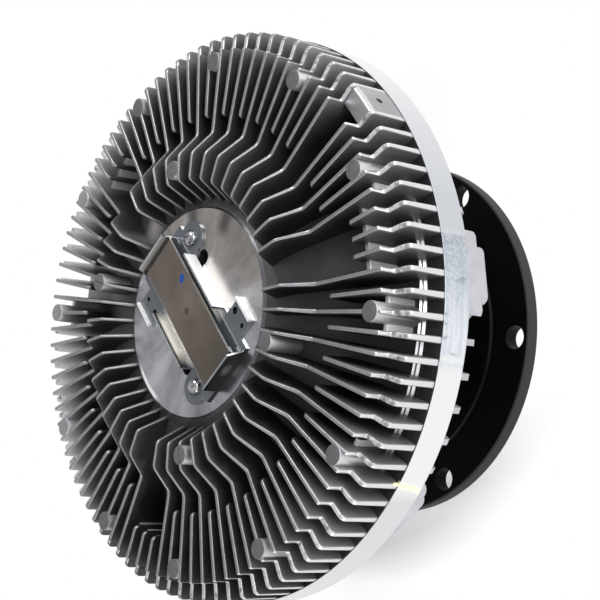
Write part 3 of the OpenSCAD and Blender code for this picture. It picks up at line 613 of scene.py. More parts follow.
def fin_shape(kind):
    """A fin as a plate that thins towards its front edge, its rim rounded."""
    outline = fin_outline(kind)
    shape = bmesh.new()
    sides = []
    for side in (-1, 1):
        ring = []
        for point in outline:
            t = ease(point.y, RIM_Z - 2 * MM, RIM_Z + PLATEAU_H)
            half_t = (FIN_ROOT_T + (FIN_TIP_T - FIN_ROOT_T) * t) / 2
            ring.append(shape.verts.new((point.x, side * half_t, point.y)))
        sides.append(ring)
    shape.faces.new(sides[0])
    shape.faces.new(reversed(sides[1]))
    count = len(outline)
    for i in range(count):
        j = (i + 1) % count
        shape.faces.new((sides[0][j], sides[0][i], sides[1][i], sides[1][j]))
    bmesh.ops.recalc_face_normals(shape, faces=shape.faces)
    rims = [e for e in shape.edges if e.verts[0].co.y * e.verts[1].co.y > 0]
    bmesh.ops.bevel(shape, geom=rims, offset=EDGE_ROUND, segments=3, profile=0.5, affect="EDGES")
    cuts = [((0, 0, RIM_Z + h * MM), (0, 0, 1)) for h in FIN_CUTS_H]
    cuts += [((r * MM, 0, 0), (1, 0, 0)) for r in FIN_CUTS_R]
    for at, across_cut in cuts:
        everything = shape.verts[:] + shape.edges[:] + shape.faces[:]
        bmesh.ops.bisect_plane(shape, geom=everything, plane_co=at, plane_no=across_cut)
    put_in_order(shape)
    return shape


def fin_mesh(kind):
    """A fin with its numbers for the finish."""

    def top_at(r):
        """Height of the fin's front edge."""
        if r > LEDGE_R:
            return RIM_Z + SHOULDER_H
        if kind == "long" and r < RAMP_LOW_R:
            return RIM_Z + FRONT_H + (PLATEAU_H - FRONT_H) * ease(RAMP_LOW_R - r, 0, RAMP_LOW_R - RAMP_HIGH_R)
        return RIM_Z + FRONT_H

    def turned_at(c, n):
        return ease(n.x, 0.75, 0.95) * (0.75 if c.x > 136 * MM else 1.0) if c.x > LEDGE_R - 2 * MM else 0.0

    def front_at(c, n):
        return ease(n.z, 0.2, 0.8) * (0.35 if c.x > LEDGE_R else 0.55 if n.z > 0.985 else 1.0)

    # Painted shade: the inner fins are dark all over, and each fin darkens below its front edge, over a longer reach
    # further out.
    def deep_at(c, n):
        inner = 1 - ease(c.x, 106 * MM, 131 * MM)
        sunk = ease(top_at(c.x) - c.z, 0.3 * MM, (5 + 16 * (1 - inner)) * MM)
        return 0.8 * inner + (1 - 0.8 * inner) * sunk * (0.45 + 0.55 * inner)

    mesh = to_mesh(fin_shape(kind), "fin_" + kind, 50)
    mark_faces(mesh, turned_at, front_at, deep_at)
    return mesh


fin_meshes = {kind: fin_mesh(kind) for kind in ("long", "short", "pocket")}
print({kind: len(mesh.polygons) for kind, mesh in fin_meshes.items()}, "faces a fin")

# %% [markdown]
# The body under the fins is a turned part: one outline spun round the axis. Its inside has the working
# chamber with the ring lands, the seat of the separator plate, the fluid reservoir and the bore of the pin.
# A screw modifier could spin it; building the rings directly keeps each face's place in the outline known.

# %% Outline of the turned body
JOINT_Z = RIM_Z - BAND_W
CHAMBER_R, CHAMBER_TOP = 109.5 * MM, JOINT_Z + 9.8 * MM
LAND_R, LAND_T, LAND_PITCH, LAND_COUNT, LAND_FOOT = 75.0 * MM, 1.8 * MM, 4.6 * MM, 7, 104.2 * MM
PLATE_BORE_R, PLATE_TOP = 71.0 * MM, JOINT_Z + 23.0 * MM
RESERVOIR_R, RESERVOIR_TOP = 63.5 * MM, DISC_Z - 9.0 * MM
PIN_BORE_R, RIM_BREAK = 3.0 * MM, 0.15 * MM
SKIN_STEPS, SPIN_STEPS, BODY_SHARP = 24, 360, 24

front_side = [(PIN_BORE_R, DISC_Z), (DISC_R, DISC_Z), (DISC_R + DISC_CHAMFER, DISC_Z - DISC_CHAMFER)]
for k in range(SKIN_STEPS):
    r = DISC_FOOT_R + (STEP_RING_R - DISC_FOOT_R) * k / SKIN_STEPS
    front_side.append((r, gap_floor(r)))
front_side += [(STEP_RING_R - 1.1 * MM, RIM_Z + STEP_RING_H), (STEP_RING_R - 0.5 * MM, RIM_Z + 2.2 * MM),
               (STEP_RING_R - 0.5 * MM, RIM_Z + 1.2 * MM), (STEP_RING_R + 0.3 * MM, RIM_Z)]
rim_side = [(RIM_R - RIM_BREAK, RIM_Z), (RIM_R, RIM_Z - RIM_BREAK), (RIM_R, JOINT_Z + BAND_CHAMFER),
            (RIM_R - BAND_CHAMFER, JOINT_Z)]
inside = [(CHAMBER_R, JOINT_Z), (CHAMBER_R, CHAMBER_TOP)]
for i in reversed(range(LAND_COUNT - 1)):
    r = LAND_R + LAND_T + i * LAND_PITCH + (LAND_PITCH - 2 * LAND_T) / 2
    inside += [(r + LAND_T, CHAMBER_TOP), (r + LAND_T, LAND_FOOT), (r, LAND_FOOT), (r, CHAMBER_TOP)]
inside += [(PLATE_BORE_R, CHAMBER_TOP), (PLATE_BORE_R, PLATE_TOP), (RESERVOIR_R, PLATE_TOP),
           (RESERVOIR_R, RESERVOIR_TOP), (PIN_BORE_R, RESERVOIR_TOP)]
body_outline = front_side + rim_side + inside
print("points in the body's outline:", len(body_outline))

# %% Turned body


def spin(outline, steps):
    """A closed outline of radius and height, spun round the axis."""
    shape = bmesh.new()
    rings = []
    for k in range(steps):
        a = math.tau * k / steps
        rings.append([shape.verts.new((r * math.cos(a), r * math.sin(a), h)) for r, h in outline])
    for k in range(steps):
        here, there = rings[k], rings[(k + 1) % steps]
        for i in range(len(outline)):
            j = (i + 1) % len(outline)
            shape.faces.new((here[i], there[i], there[j], here[j]))
    bmesh.ops.recalc_face_normals(shape, faces=shape.faces)
    return shape


body_mesh = to_mesh(spin(body_outline, SPIN_STEPS), "front_casting_body", BODY_SHARP)
print("spun body:", len(body_mesh.polygons), "faces")

# %% [markdown]
# Two free holes are drilled into the centre face, beside the bracket. A Boolean modifier cuts them, and the
# result is taken as a plain mesh at once. Then each face of the body learns what the lathe has cut.

# %% Free holes and numbers of the body
HOLE_AT, HOLE_R, HOLE_DEEP = Vector((-17.2 * MM, 20.8 * MM, DISC_Z)), 4.0 * MM, 7.0 * MM


def carve(mesh, tool_mesh):
    """A mesh with another one cut out of it."""
    block, tool = [stand(m.name, m) for m in (mesh, tool_mesh)]
    cut = block.modifiers.new("cut", "BOOLEAN")
    cut.object, cut.operation, cut.solver = tool, "DIFFERENCE", "EXACT"
    carved = bpy.data.meshes.new_from_object(block.evaluated_get(bpy.context.evaluated_depsgraph_get()))
    carved.name = mesh.name
    for made in (block, tool):
        bpy.data.objects.remove(made)
    return carved


def drills(places, radius, depth, name):
    """Round tools that reach as deep to both sides of their places."""
    shape = bmesh.new()
    for spot in places:
        bmesh.ops.create_cone(shape, cap_ends=True, segments=48, radius1=radius, radius2=radius, depth=2 * depth,
                              matrix=spot)
    return to_mesh(shape, name)


def at_both_ends(at):
    """Two places: a point in the strip's directions, and the same point half a turn on."""
    return [Matrix.Rotation(STRIP_TURN + half_turn, 4, "Z") @ Matrix.Translation(at) for half_turn in (0, math.pi)]


def body_turned(c, n):
    """The rim, the centre face and the step ring are cut by the lathe. The split in the step ring is dark."""
    r = math.hypot(c.x, c.y)
    if r > RIM_R - 0.05 * MM or (r < DISC_R + MM and c.z > DISC_Z - 1.2 * MM):
        return 1.0
    if r > RIM_R - 0.8 * MM and c.z < JOINT_Z + BAND_CHAMFER:
        return 1.0
    if STEP_RING_R - 1.1 * MM < r < STEP_RING_R + 0.35 * MM and c.z > RIM_Z:
        return 0.25 if 1.3 * MM < c.z - RIM_Z < 2.1 * MM else 1.0
    return 0.0


def body_deep(c, n):
    """Painted shade: the holes are black, and the skin between the fins is nearly so."""
    in_hole = c.xy.length < 32 * MM and c.z < DISC_Z
    return 1.0 if in_hole else 0.82 + 0.06 * ease(c.xy.length, 56 * MM, 82 * MM)


body_mesh = carve(body_mesh, drills(at_both_ends(HOLE_AT), HOLE_R, HOLE_DEEP, "free_holes"))
body_mesh.set_sharp_from_angle(angle=math.radians(BODY_SHARP))
mark_faces(body_mesh, body_turned, lambda c, n: 0.0, body_deep)
print("turned body:", len(body_mesh.polygons), "faces")

# %% [markdown]
# Round posts push the casting out of its mould: twelve on an outer circle and four inside. Short curved webs
# join them to the fins beside them, and three pockets have a web of their own. One gap holds a pad with a
# drilled dimple, where the casting was balanced.

# %% Posts and webs
POST_R, POST_L, POST_STEPS = 4.7 * MM, 28.0 * MM, 40
OUTER_POSTS, OUTER_POST_Z = 12, RIM_Z + 29.3 * MM
INNER_CIRCLE, INNER_POST_Z, INNER_POSTS = 70.0 * MM, RIM_Z + PLATEAU_H, (-3, -20, -48, -65)
POCKET_WEB_R, POCKET_WEB_H = 115.0 * MM, 21.6 * MM


def post_mesh():
    """A post with its end at the origin: a flat end with a soft edge, and a slim taper for the mould."""
    outline = [(POST_R - 0.5 * MM, 0.0), (POST_R - 0.15 * MM, -0.15 * MM), (POST_R, -0.5 * MM),
               (POST_R + 0.05 * MM, -0.4 * POST_L), (POST_R + 0.2 * MM, -POST_L)]
    shape = bmesh.new()
    tip, foot = shape.verts.new((0, 0, 0)), shape.verts.new((0, 0, -POST_L))
    turns = [math.tau * k / POST_STEPS for k in range(POST_STEPS)]
    rings = [[shape.verts.new((r * math.cos(a), r * math.sin(a), h)) for a in turns] for r, h in outline]
    for k in range(POST_STEPS):
        j = (k + 1) % POST_STEPS
        shape.faces.new((tip, rings[0][k], rings[0][j]))
        shape.faces.new((foot, rings[-1][j], rings[-1][k]))
        for low, high in zip(rings, rings[1:]):
            shape.faces.new((low[k], high[k], high[j], low[j]))
    bmesh.ops.recalc_face_normals(shape, faces=shape.faces)
    mesh = to_mesh(shape, "post", 30)
    # Painted shade: the sides darken towards the foot, and the flat end is darkened all over.
    mark_faces(mesh, lambda c, n: 0.45 * (1 - ease(abs(n.z), 0.2, 0.6)), lambda c, n: 0.4 if n.z > 0.8 else 0.0,
               lambda c, n: 1.0 if n.z > 0.8 else 0.7 * ease(-c.z, 10 * MM, 28 * MM))
    return mesh


def swept(outline, half_angle, steps):
    """A closed outline of radius and height, carried along an arc round the axis with its middle on the X axis."""
    shape = bmesh.new()
    rows = []
    for k in range(steps + 1):
        a = half_angle * (2 * k / steps - 1)
        rows.append([shape.verts.new((r * math.cos(a), r * math.sin(a), h)) for r, h in outline])
    count = len(outline)
    for here, there in zip(rows, rows[1:]):
        for i in range(count):
            j = (i + 1) % count
            shape.faces.new((here[i], here[j], there[j], there[i]))
    shape.faces.new(reversed(rows[0]))
    shape.faces.new(rows[-1])
    bmesh.ops.recalc_face_normals(shape, faces=shape.faces)
    return shape


def web_mesh(middle_r, height, half_angle, steps, name):
    """A curved bar with soft upper edges."""
    r0, r1, h0, h1 = middle_r - WEB_T / 2, middle_r + WEB_T / 2, RIM_Z - MM, RIM_Z + height
    shape = swept([(r0, h0), (r1, h0), (r1, h1), (r0, h1)], half_angle, steps)
    top = [e for e in shape.edges if all(abs(v.co.z - h1) < 1e-6 for v in e.verts) and
           abs(e.verts[0].co.xy.length - e.verts[1].co.xy.length) < 1e-6]
    bmesh.ops.bevel(shape, geom=top, offset=EDGE_ROUND, segments=2, profile=0.5, affect="EDGES")
    mesh = to_mesh(shape, name)
    # Painted highlight: the webs' sides carry a turned value so they come out bright. Painted shade darkens them lower
    # down.
    mark_faces(mesh, lambda c, n: 0.85 * ease(abs(n.x), 0.6, 0.95), lambda c, n: ease(n.z, 0.3, 0.8) * 0.9,
               lambda c, n: 0.4 * ease(h1 - c.z, 6 * MM, 20 * MM))
    return mesh


post = post_mesh()
web = web_mesh(OUTER_CIRCLE, WEB_H, FIN_STEP, 8, "web")
pocket_web = web_mesh(POCKET_WEB_R, POCKET_WEB_H, 2 * FIN_STEP, 16, "pocket_web")
print("post and web faces:", [len(mesh.polygons) for mesh in (post, web, pocket_web)])

# %% Balance pad
PAD_IN_R, PAD_H = LEDGE_R - 0.5 * MM, 19.5 * MM
DIMPLE_R, DIMPLE_DEEP, DIMPLE_Z = 1.7 * MM, 3.0 * MM, RIM_Z + PAD_H / 2


def pad_mesh():
    """The balance pad between two fins, with a round shoulder and the drilled dimple."""
    corners = [(FIN_OUT_R, RIM_Z - ROOT_SINK), (FIN_OUT_R, RIM_Z + PAD_H), (PAD_IN_R, RIM_Z + PAD_H),
               (PAD_IN_R, RIM_Z - ROOT_SINK)]
    block = to_mesh(swept(round_corners(corners, {1: SHOULDER_ROUND}), FIN_STEP, 16), "pad_block")
    aim = Matrix.Translation((FIN_OUT_R, 0, DIMPLE_Z)) @ Matrix.Rotation(math.pi / 2, 4, "Y")
    mesh = carve(block, drills([aim], DIMPLE_R, DIMPLE_DEEP, "pad_drill"))

    def in_dimple(c):
        return math.hypot(c.y, c.z - DIMPLE_Z) < DIMPLE_R * 0.99 and c.x < FIN_OUT_R - 0.3 * MM

    # Painted shade: the inside of the dimple is black.
    mark_faces(mesh, lambda c, n: 0.0 if in_dimple(c) else ease(n.x, 0.5, 0.9) * 0.12,
               lambda c, n: ease(n.z, 0.3, 0.8) * 0.8,
               lambda c, n: 1.0 if in_dimple(c) and c.x > LEDGE_R else 0.12)
    return mesh


pad = pad_mesh()
print("pad faces:", len(pad.polygons))

# %% [markdown]
# Now the tree. Points are numbered 0 to 89, and each number gives the turn of its fin. A fin's place in its
# sector of thirty says which kind it is: near the pocket's middle the shortest, else long and short in turn.
# The posts sit on a handful of points of their own. Everything is realised and gets the casting's finish.

# %% Tree that sets the copies round the body


def tree_input(tree, name, kind, default=None):
    """Adds an input to a tree and gives the identifier that a modifier knows it by."""
    socket = tree.interface.new_socket(name, in_out="INPUT", socket_type=kind)
    if default is not None:
        socket.default_value = default
    return socket.identifier


def copies_tree():
    """The turned body with its fins, posts, webs and pad. Gives the tree and the identifiers of its inputs."""
    tree = bpy.data.node_groups.new("finned_casting", "GeometryNodeTree")
    keys = {"Body": tree_input(tree, "Body", "NodeSocketGeometry")}
    for name in ("Long fin", "Short fin", "Pocket fin", "Post", "Post places", "Web", "Pocket web", "Pad"):
        keys[name] = tree_input(tree, name, "NodeSocketObject")
    for name, value in (("Fins", FIN_COUNT), ("Sector", SECTOR), ("Pocket", POCKET_MID), ("Pad fin", PAD_FIN),
                        ("Webs", OUTER_POSTS)):
        keys[name] = tree_input(tree, name, "NodeSocketInt", value)
    keys["Phase"] = tree_input(tree, "Phase", "NodeSocketFloat", FIN_PHASE)
    keys["Finish"] = tree_input(tree, "Finish", "NodeSocketMaterial")
    tree.interface.new_socket("Casting", in_out="OUTPUT", socket_type="NodeSocketGeometry")
    source = tree.nodes.new("NodeGroupInput")
    given = {socket.name: Wire(tree, socket) for socket in source.outputs if socket.name}
    start = Wire(tree)
    index = start.make("GeometryNodeInputIndex")

    def shape_of(name):
        return start.make("GeometryNodeObjectInfo", None, {"Object": given[name]}, out="Geometry")

    def ring_of(count, selection, name, first):
        points = start.make("GeometryNodePoints", None, {"Count": count})
        angle = first + index * (math.tau / count)
        euler = start.make("ShaderNodeCombineXYZ", None, {2: angle})
        turn = start.make("FunctionNodeEulerToRotation", None, {0: euler})
        sockets = {"Points": points, "Instance": shape_of(name), "Rotation": turn}
        if selection is not None:
            sockets["Selection"] = selection
        return start.make("GeometryNodeInstanceOnPoints", None, sockets)

    fins, sector, phase = given["Fins"], given["Sector"], given["Phase"]
    from_pocket = abs((index - given["Pocket"] + sector * 0.5) % sector - sector * 0.5)
    in_pocket = from_pocket < 1.5
    odd = (index % 2.0) > 0.5
    is_pad = abs(index - given["Pad fin"]) < 0.5
    posts = {"Points": shape_of("Post places"), "Instance": shape_of("Post")}
    parts = [
        given["Body"],
        ring_of(fins, (1.0 - in_pocket) * (1.0 - odd), "Long fin", phase),
        ring_of(fins, (1.0 - in_pocket) * odd * (1.0 - is_pad), "Short fin", phase),
        ring_of(fins, in_pocket, "Pocket fin", phase),
        ring_of(fins, is_pad, "Pad", phase),
        ring_of(given["Webs"], None, "Web", phase),
        ring_of(fins / sector, None, "Pocket web", phase + given["Pocket"] * (math.tau / fins)),
        start.make("GeometryNodeInstanceOnPoints", None, posts),
    ]
    join = tree.nodes.new("GeometryNodeJoinGeometry")
    for part in reversed(parts):
        tree.links.new(part.socket, join.inputs[0])
    real = start.make("GeometryNodeRealizeInstances", None, {0: Wire(tree, join.outputs[0])})
    done = start.make("GeometryNodeSetMaterial", None, {"Geometry": real, "Material": given["Finish"]})
    output = tree.nodes.new("NodeGroupOutput")
    tree.links.new(done.socket, output.inputs[0])
    return tree, keys


casting_tree, casting_keys = copies_tree()
print("tree", casting_tree.name, "inputs", list(casting_keys))

# %% The finned casting
post_places = bpy.data.meshes.new("post_places")
spots = [(OUTER_CIRCLE, FIN_PHASE + k * math.tau / OUTER_POSTS, OUTER_POST_Z) for k in range(OUTER_POSTS)]
spots += [(INNER_CIRCLE, FIN_PHASE + k * FIN_STEP, INNER_POST_Z) for k in INNER_POSTS]
post_places.from_pydata([(r * math.cos(a), r * math.sin(a), h) for r, a, h in spots], [], [])

helpers = {"Long fin": fin_meshes["long"], "Short fin": fin_meshes["short"], "Pocket fin": fin_meshes["pocket"],
           "Post": post, "Post places": post_places, "Web": web, "Pocket web": pocket_web, "Pad": pad}
helper_objects = {name: stand("helper_" + mesh.name, mesh) for name, mesh in helpers.items()}
casting = stand("finned_casting", body_mesh)
modifier = casting.modifiers.new("copies", "NODES")
modifier.node_group = casting_tree
for name, made in helper_objects.items():
    modifier[casting_keys[name]] = made
modifier[casting_keys["Finish"]] = casting_finish
depsgraph = bpy.context.evaluated_depsgraph_get()
whole = bpy.data.meshes.new_from_object(casting.evaluated_get(depsgraph), preserve_all_data_layers=True,
                                        depsgraph=depsgraph)
casting.modifiers.clear()
casting.data = whole
for made in helper_objects.values():
    bpy.data.objects.remove(made)
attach(casting, "housing")
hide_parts("front_casting")
print("finned casting:", len(whole.polygons), "faces, attributes", [a.name for a in whole.attributes])

# %% [markdown]
# The bimetal strip is a flat spring that bows as it warms and lifts the valve pin. It is made as two halves
# that meet in the middle: each follows the housing at its end and the pin at its middle, so the pair bows as
# the real strip does. It has a small dent in the middle, where the pin presses, and a dot of blue paint.

# %% Finish of the strip
STRIP_L, STRIP_W, STRIP_T = 77.0 * MM, 24.0 * MM, 1.2 * MM
STRIP_Z = DISC_Z + 4.1 * MM
DENT_R, DENT_DEEP = 2.2 * MM, 0.45 * MM
ROLL_STRETCH, ROLL_HEIGHT = (1.0, 14.0, 1.0), 0.2 * MM
DOT_X, DOT_Y, DOT_W, DOT_H = -6.1 * MM, 16.0 * MM, 1.9 * MM, 2.6 * MM

strip_finish, place, (x, y, z) = new_finish("rolled_bimetal")
local = strip_place(place)
along, across, _ = local.axes()
rolled = noise(local.make("ShaderNodeMapping", None, {"Vector": local, "Scale": ROLL_STRETCH}), 60.0, 4.0, 0.6)
stain = noise(local, 45.0, 3.0, 0.5)
shade = paint((0.22, 0.182, 0.152), stain.rise(0.3, 0.75), (0.36, 0.312, 0.27))
# Painted shade: the strip darkens towards both ends, more towards one.
shade = paint(shade, (along + across * 0.4).rise(4 * MM, 36 * MM) * 0.75, (0.13, 0.11, 0.095))
shade = paint(shade, (along - across * 0.5).fall(-36 * MM, -8 * MM) * 0.45, (0.16, 0.135, 0.12))
dot_x, dot_y = (x - DOT_X) / DOT_W, (y - DOT_Y) / DOT_H
dot = (dot_x * dot_x + dot_y * dot_y + 0.35 * (noise(place, 700.0) - 0.5)).fall(0.85, 1.1)
shade = paint(shade, dot, (0.004, 0.075, 0.34))
# Painted shade in the pin's dent.
shade = paint(shade, distance(x, y).fall(1.2 * MM, 2.4 * MM) * 0.7, (0.10, 0.08, 0.06))
shade = paint(shade, abs(across).rise(STRIP_W / 2 - 0.25 * MM, STRIP_W / 2 - 0.1 * MM), (0.62, 0.61, 0.59))
close_finish({"Base Color": shade, "Roughness": 0.30 + 0.14 * stain + 0.25 * dot + 0.05 * rolled,
              "Metallic": 1.0 - dot, "Normal": bump(rolled, 0.12, ROLL_HEIGHT)})
print("finish", strip_finish.name)

# %% The strip in two halves
STEPS_ALONG, STEPS_ACROSS = 78, 48


def strip_half(name, a0, a1):
    """One half of the strip as a plate with a fine top, dented round the axis."""
    shape = bmesh.new()
    turn = Matrix.Rotation(STRIP_TURN, 3, "Z")
    top, low = [], []
    for i in range(STEPS_ALONG + 1):
        row_top, row_low = [], []
        for j in range(STEPS_ACROSS + 1):
            a = a0 + (a1 - a0) * i / STEPS_ALONG
            b = STRIP_W * (j / STEPS_ACROSS - 0.5)
            dip = DENT_DEEP * (1 - ease(math.hypot(a, b), 0.4 * DENT_R, DENT_R)) ** 2
            row_top.append(shape.verts.new(turn @ Vector((a, b, STRIP_Z + STRIP_T - dip))))
            row_low.append(shape.verts.new(turn @ Vector((a, b, STRIP_Z))))
        top.append(row_top)
        low.append(row_low)
    for i in range(STEPS_ALONG):
        for j in range(STEPS_ACROSS):
            shape.faces.new((top[i][j], top[i + 1][j], top[i + 1][j + 1], top[i][j + 1]))
            shape.faces.new((low[i][j], low[i][j + 1], low[i + 1][j + 1], low[i + 1][j]))
    loop = [(i, 0) for i in range(STEPS_ALONG)] + [(STEPS_ALONG, j) for j in range(STEPS_ACROSS)]
    loop += [(i, STEPS_ACROSS) for i in range(STEPS_ALONG, 0, -1)] + [(0, j) for j in range(STEPS_ACROSS, 0, -1)]
    for (i, j), (k, m) in zip(loop, loop[1:] + loop[:1]):
        shape.faces.new((low[i][j], low[k][m], top[k][m], top[i][j]))
    bmesh.ops.recalc_face_normals(shape, faces=shape.faces)
    mesh = to_mesh(shape, name, 40)
    mesh.materials.append(strip_finish)
    made = stand(name, mesh)
    return made


for name, side in (("strip_half_a", -1), ("strip_half_b", 1)):
    lo, hi = sorted((0.0, side * STRIP_L / 2))
    half_strip = strip_half(name, lo, hi)
    end = Matrix.Rotation(STRIP_TURN, 3, "Z") @ Vector((side * STRIP_L / 2, 0, STRIP_Z))
    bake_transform(half_strip, "housing", "pin", start=tuple(end), end=(0.0, 0.0, STRIP_Z))
    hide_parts("bimetal_strip")
    print(name, len(half_strip.data.polygons), "faces")

# %% [markdown]
# The other pieces keep their solids and get their finishes. A function makes each from a few words: the
# colour, how rough it is, how large the grain is and how much the edges have been broken. Real sheet and
# forgings have no razor edges, and a small rounding in the normal is enough to show that.

# %% Finish of a plain metal or rubber


def plain_finish(name, dark, light, rough, grain_scale, grain_depth, metal=1.0, edge=0.4 * MM, spin_lines=0.0,
                 cloud_scale=55.0):
    """A finish with clouds of two shades, a fine grain and soft edges. Spin lines are the marks of a lathe."""
    material, place, (x, y, z) = new_finish(name)
    cloud = noise(place, cloud_scale, 4.0, 0.6)
    grain = noise(place, grain_scale, 3.0, 0.6)
    relief = grain
    if spin_lines:
        lathe = line_noise(distance(x, y) * 2400.0, z * 2400.0, 2.0)
        relief = grain * (1.0 - spin_lines) + lathe * spin_lines
    changing = rough + 0.16 * (cloud - 0.5) + 0.10 * (grain - 0.5)
    close_finish({"Base Color": paint(dark, cloud.rise(0.3, 0.7), light), "Roughness": changing.clamped(),
                  "Metallic": metal, "Normal": bump(relief, grain_depth, edge_round=edge)})
    return material


print("plain finish ready")

# %% [markdown]
# Two pieces need more words. The bracket is folded from bright sheet: each wall stands for a mirror, and its
# reflection is painted into its colour, white where it looks at the light and dark where it does not. The
# flange has a black coat that is worn on its edge.

# %% Finishes of the bracket and of the flange
SHEET_T = 1.2 * MM
SHEET_TOP = DISC_Z + SHEET_T
WALL_OUT, END_OUT, LIP_OUT, FLANGE_EDGE_R = 18.5 * MM, 42.4 * MM, 28.5 * MM, 94.0 * MM
WALL_IN, END_IN = WALL_OUT - SHEET_T, END_OUT - SHEET_T


def bracket_finish():
    """Bright zinc on folded sheet, with its reflections painted into the colour."""
    material, place, (x, y, z) = new_finish("bright_zinc_sheet")
    along, across, _ = strip_place(place).axes()
    off, far, up = abs(across), abs(along), z - SHEET_TOP
    cloud = noise(place, 90.0, 3.0, 0.6)
    raised = up.rise(0.05 * MM, 0.2 * MM)
    flat = abs(up).fall(0.04 * MM, 0.1 * MM)
    outer_wall = off.rise(WALL_OUT - 0.1 * MM, WALL_OUT - 0.04 * MM)
    outer_wall = outer_wall * off.fall(WALL_OUT + 0.3 * MM, WALL_OUT + 0.5 * MM)
    lip = off.rise(LIP_OUT - 0.1 * MM, LIP_OUT)
    white = ((outer_wall + lip) * raised).clamped()
    inner_wall = abs(off - WALL_IN).fall(0.05 * MM, 0.1 * MM) * raised
    gap = flat * off.rise(11.0 * MM, 11.5 * MM) * off.fall(WALL_IN, WALL_IN + 0.1 * MM)
    painted_cream_reflection = ((inner_wall * up.fall(5.0 * MM, 6.5 * MM) + gap) * far.fall(10 * MM, 20 * MM)).clamped()
    end_face = far.rise(END_OUT - 0.1 * MM, END_OUT - 0.04 * MM)
    end_inside = abs(far - END_IN).fall(0.05 * MM, 0.1 * MM) * raised
    spot = distance(across - 3.5 * MM, (up - 2.5 * MM) * 1.6).fall(1.5 * MM, 5.0 * MM)
    shade = paint((0.40, 0.42, 0.45), cloud.rise(0.3, 0.7), (0.62, 0.64, 0.65))
    # Painted reflections: dark blue-grey tops, grey inner walls, near-black end faces with a warm spot, insides of the
    # ends dark below and light above, cream beside the strip, and white outer walls and lip.
    shade = paint(shade, flat * 0.85, (0.10, 0.115, 0.135))
    shade = paint(shade, inner_wall, (0.22, 0.225, 0.23))
    shade = paint(shade, end_face * 0.92, (0.020, 0.016, 0.013))
    shade = paint(shade, spot * end_face * along.rise(0.0, MM) * 0.6, (0.42, 0.40, 0.35))
    shade = paint(shade, end_inside, paint((0.10, 0.08, 0.06), up.rise(3.8 * MM, 5.2 * MM), (0.62, 0.64, 0.63)))
    shade = paint(shade, painted_cream_reflection, (0.90, 0.87, 0.80))
    shade = paint(shade, white, (0.95, 0.95, 0.94))
    # Less metal where the colour is a painted reflection, so it stays bright from every side.
    dull = (0.9 * white + 0.8 * painted_cream_reflection + 0.5 * flat + 0.4 * end_inside).clamped()
    close_finish({"Base Color": shade, "Roughness": 0.16 + 0.1 * (cloud - 0.5) + 0.15 * white,
                  "Metallic": 1.0 - dull, "Normal": bump(cloud, 0.05, edge_round=0.35 * MM)})
    return material


def black_finish():
    """The flange's black coat: deep black on the faces, worn to a brown grey on the outer edge."""
    material, place, (x, y, z) = new_finish("black_forging")
    grain = noise(place, 700.0, 3.0, 0.6)
    cloud = noise(place, 45.0, 4.0, 0.6)
    worn = distance(x, y).rise(FLANGE_EDGE_R - 0.8 * MM, FLANGE_EDGE_R)
    shade = paint((0.0008, 0.0008, 0.001), cloud.rise(0.3, 0.7), (0.002, 0.002, 0.0025))
    shade = paint(shade, worn, (0.042, 0.040, 0.039))
    close_finish({"Base Color": shade, "Roughness": 0.42 + 0.2 * (cloud - 0.5) + 0.1 * worn,
                  "Specular IOR Level": 0.09, "Normal": bump(grain, 0.08, edge_round=0.6 * MM)})
    return material


print("sheet top at", round(SHEET_TOP / MM, 1), "mm")

# %% Dress the solids
FINISHES = {
    "rear_cast": plain_finish("cast_aluminium_rear", (0.50, 0.50, 0.53), (0.66, 0.66, 0.70), 0.46, 900.0, 0.22),
    "black": black_finish(),
    "zinc": bracket_finish(),
    # Painted reflection: the screws' colour runs in small clouds from near black to near white, as a room mirrored in
    # their domes.
    "chrome": plain_finish("bright_screws", (0.06, 0.07, 0.08), (0.97, 0.97, 0.97), 0.12, 500.0, 0.03,
                           edge=0.2 * MM, cloud_scale=330.0),
    "ground": plain_finish("ground_steel", (0.60, 0.60, 0.62), (0.74, 0.74, 0.76), 0.25, 800.0, 0.08,
                           edge=0.2 * MM, spin_lines=0.8),
    "brass": plain_finish("cage_brass", (0.55, 0.40, 0.16), (0.76, 0.58, 0.28), 0.32, 700.0, 0.1),
    "rubber": plain_finish("seal_rubber", (0.016, 0.016, 0.017), (0.035, 0.035, 0.036), 0.62, 1200.0, 0.2, metal=0.0),
    "turned": plain_finish("rotor_aluminium", (0.62, 0.62, 0.63), (0.80, 0.80, 0.81), 0.34, 900.0, 0.15,
                           edge=0.3 * MM, spin_lines=0.8),
    "blackened": plain_finish("blackened_steel", (0.05, 0.05, 0.055), (0.12, 0.12, 0.125), 0.40, 800.0, 0.12),
    "spring": plain_finish("spring_steel", (0.36, 0.33, 0.29), (0.52, 0.48, 0.43), 0.30, 600.0, 0.08),
}
WEARS = {
    "rear_housing": "rear_cast", "drive_flange": "black", "strip_bracket": "zinc",
    "bearing_inner_ring": "ground", "bearing_outer_ring": "ground", "bearing_balls": "ground",
    "bearing_cage": "brass", "bearing_seal_front": "rubber", "bearing_seal_rear": "rubber",
    "bearing_retainer": "blackened", "rotor": "turned", "rotor_washer": "ground", "rotor_bolt": "blackened",
    "separator_plate": "ground", "plate_screws": "blackened", "valve_lever": "spring", "lever_pivot": "ground",
    "valve_pin": "ground", "pin_seal": "rubber", "cover_seal": "rubber", "cover_screws": "blackened",
}
for node, finish in WEARS.items():
    solid = frame["nodes"][node]
    solid.data.materials.clear()
    solid.data.materials.append(FINISHES[finish])
print("dressed", len(WEARS), "solids in", len(FINISHES), "finishes")

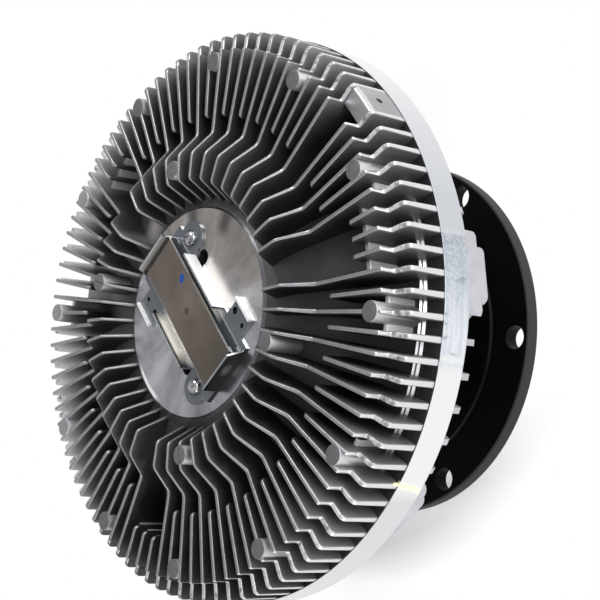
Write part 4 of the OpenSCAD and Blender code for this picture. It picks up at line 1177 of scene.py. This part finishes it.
# %% [markdown]
# Two screws hold the bracket. Their heads are domed and bright, so they mirror the whole room, which a flat
# disc would not do. Each head is spun from a short outline and gets its crossed slots with two cuts.

# %% Domed screws of the bracket
SCREW_AT, SHANK_R, SHANK_L = Vector((-30.2 * MM, 21.0 * MM, SHEET_TOP)), 2.0 * MM, 8.2 * MM
HEAD_MM = ((4.2, 0.0), (4.2, 0.4), (4.0, 1.2), (3.5, 2.0), (2.7, 2.6), (1.8, 2.9), (0.9, 3.0), (0.0, 3.0))
SLOT_L, SLOT_W, SLOT_H, HEAD_H, SCREW_SHARP = 4.2 * MM, 1.0 * MM, 2.8 * MM, 3.0 * MM, 35


def screw_mesh():
    """One screw with its seat at the origin."""
    outline = [(0.0, -SHANK_L), (SHANK_R, -SHANK_L), (SHANK_R, 0.0)] + [(r * MM, h * MM) for r, h in HEAD_MM]
    shape = bmesh.new()
    for (r0, h0), (r1, h1) in zip(outline, outline[1:]):
        bmesh.ops.create_cone(shape, cap_ends=False, segments=48, radius1=r0, radius2=r1, depth=h1 - h0,
                              matrix=Matrix.Translation((0, 0, (h0 + h1) / 2)))
    bmesh.ops.remove_doubles(shape, verts=shape.verts, dist=1e-6)
    bmesh.ops.recalc_face_normals(shape, faces=shape.faces)
    slots = bmesh.new()
    for size in ((SLOT_L, SLOT_W, SLOT_H), (SLOT_W, SLOT_L, SLOT_H)):
        bmesh.ops.create_cube(slots, matrix=Matrix.Translation((0, 0, HEAD_H)) @ Matrix.Diagonal((*size, 1)))
    return carve(to_mesh(shape, "screw", SCREW_SHARP), to_mesh(slots, "screw_slots"))


one = screw_mesh()
pair = bmesh.new()
for spot in at_both_ends(SCREW_AT):
    fresh = one.copy()
    fresh.transform(spot)
    pair.from_mesh(fresh)
screws_mesh = to_mesh(pair, "domed_screws")
screws_mesh.set_sharp_from_angle(angle=math.radians(SCREW_SHARP))
screws_mesh.materials.append(FINISHES["chrome"])
screws = stand("domed_screws", screws_mesh)
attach(screws, "housing")
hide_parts("bracket_screws")
print("domed screws:", len(screws_mesh.polygons), "faces")
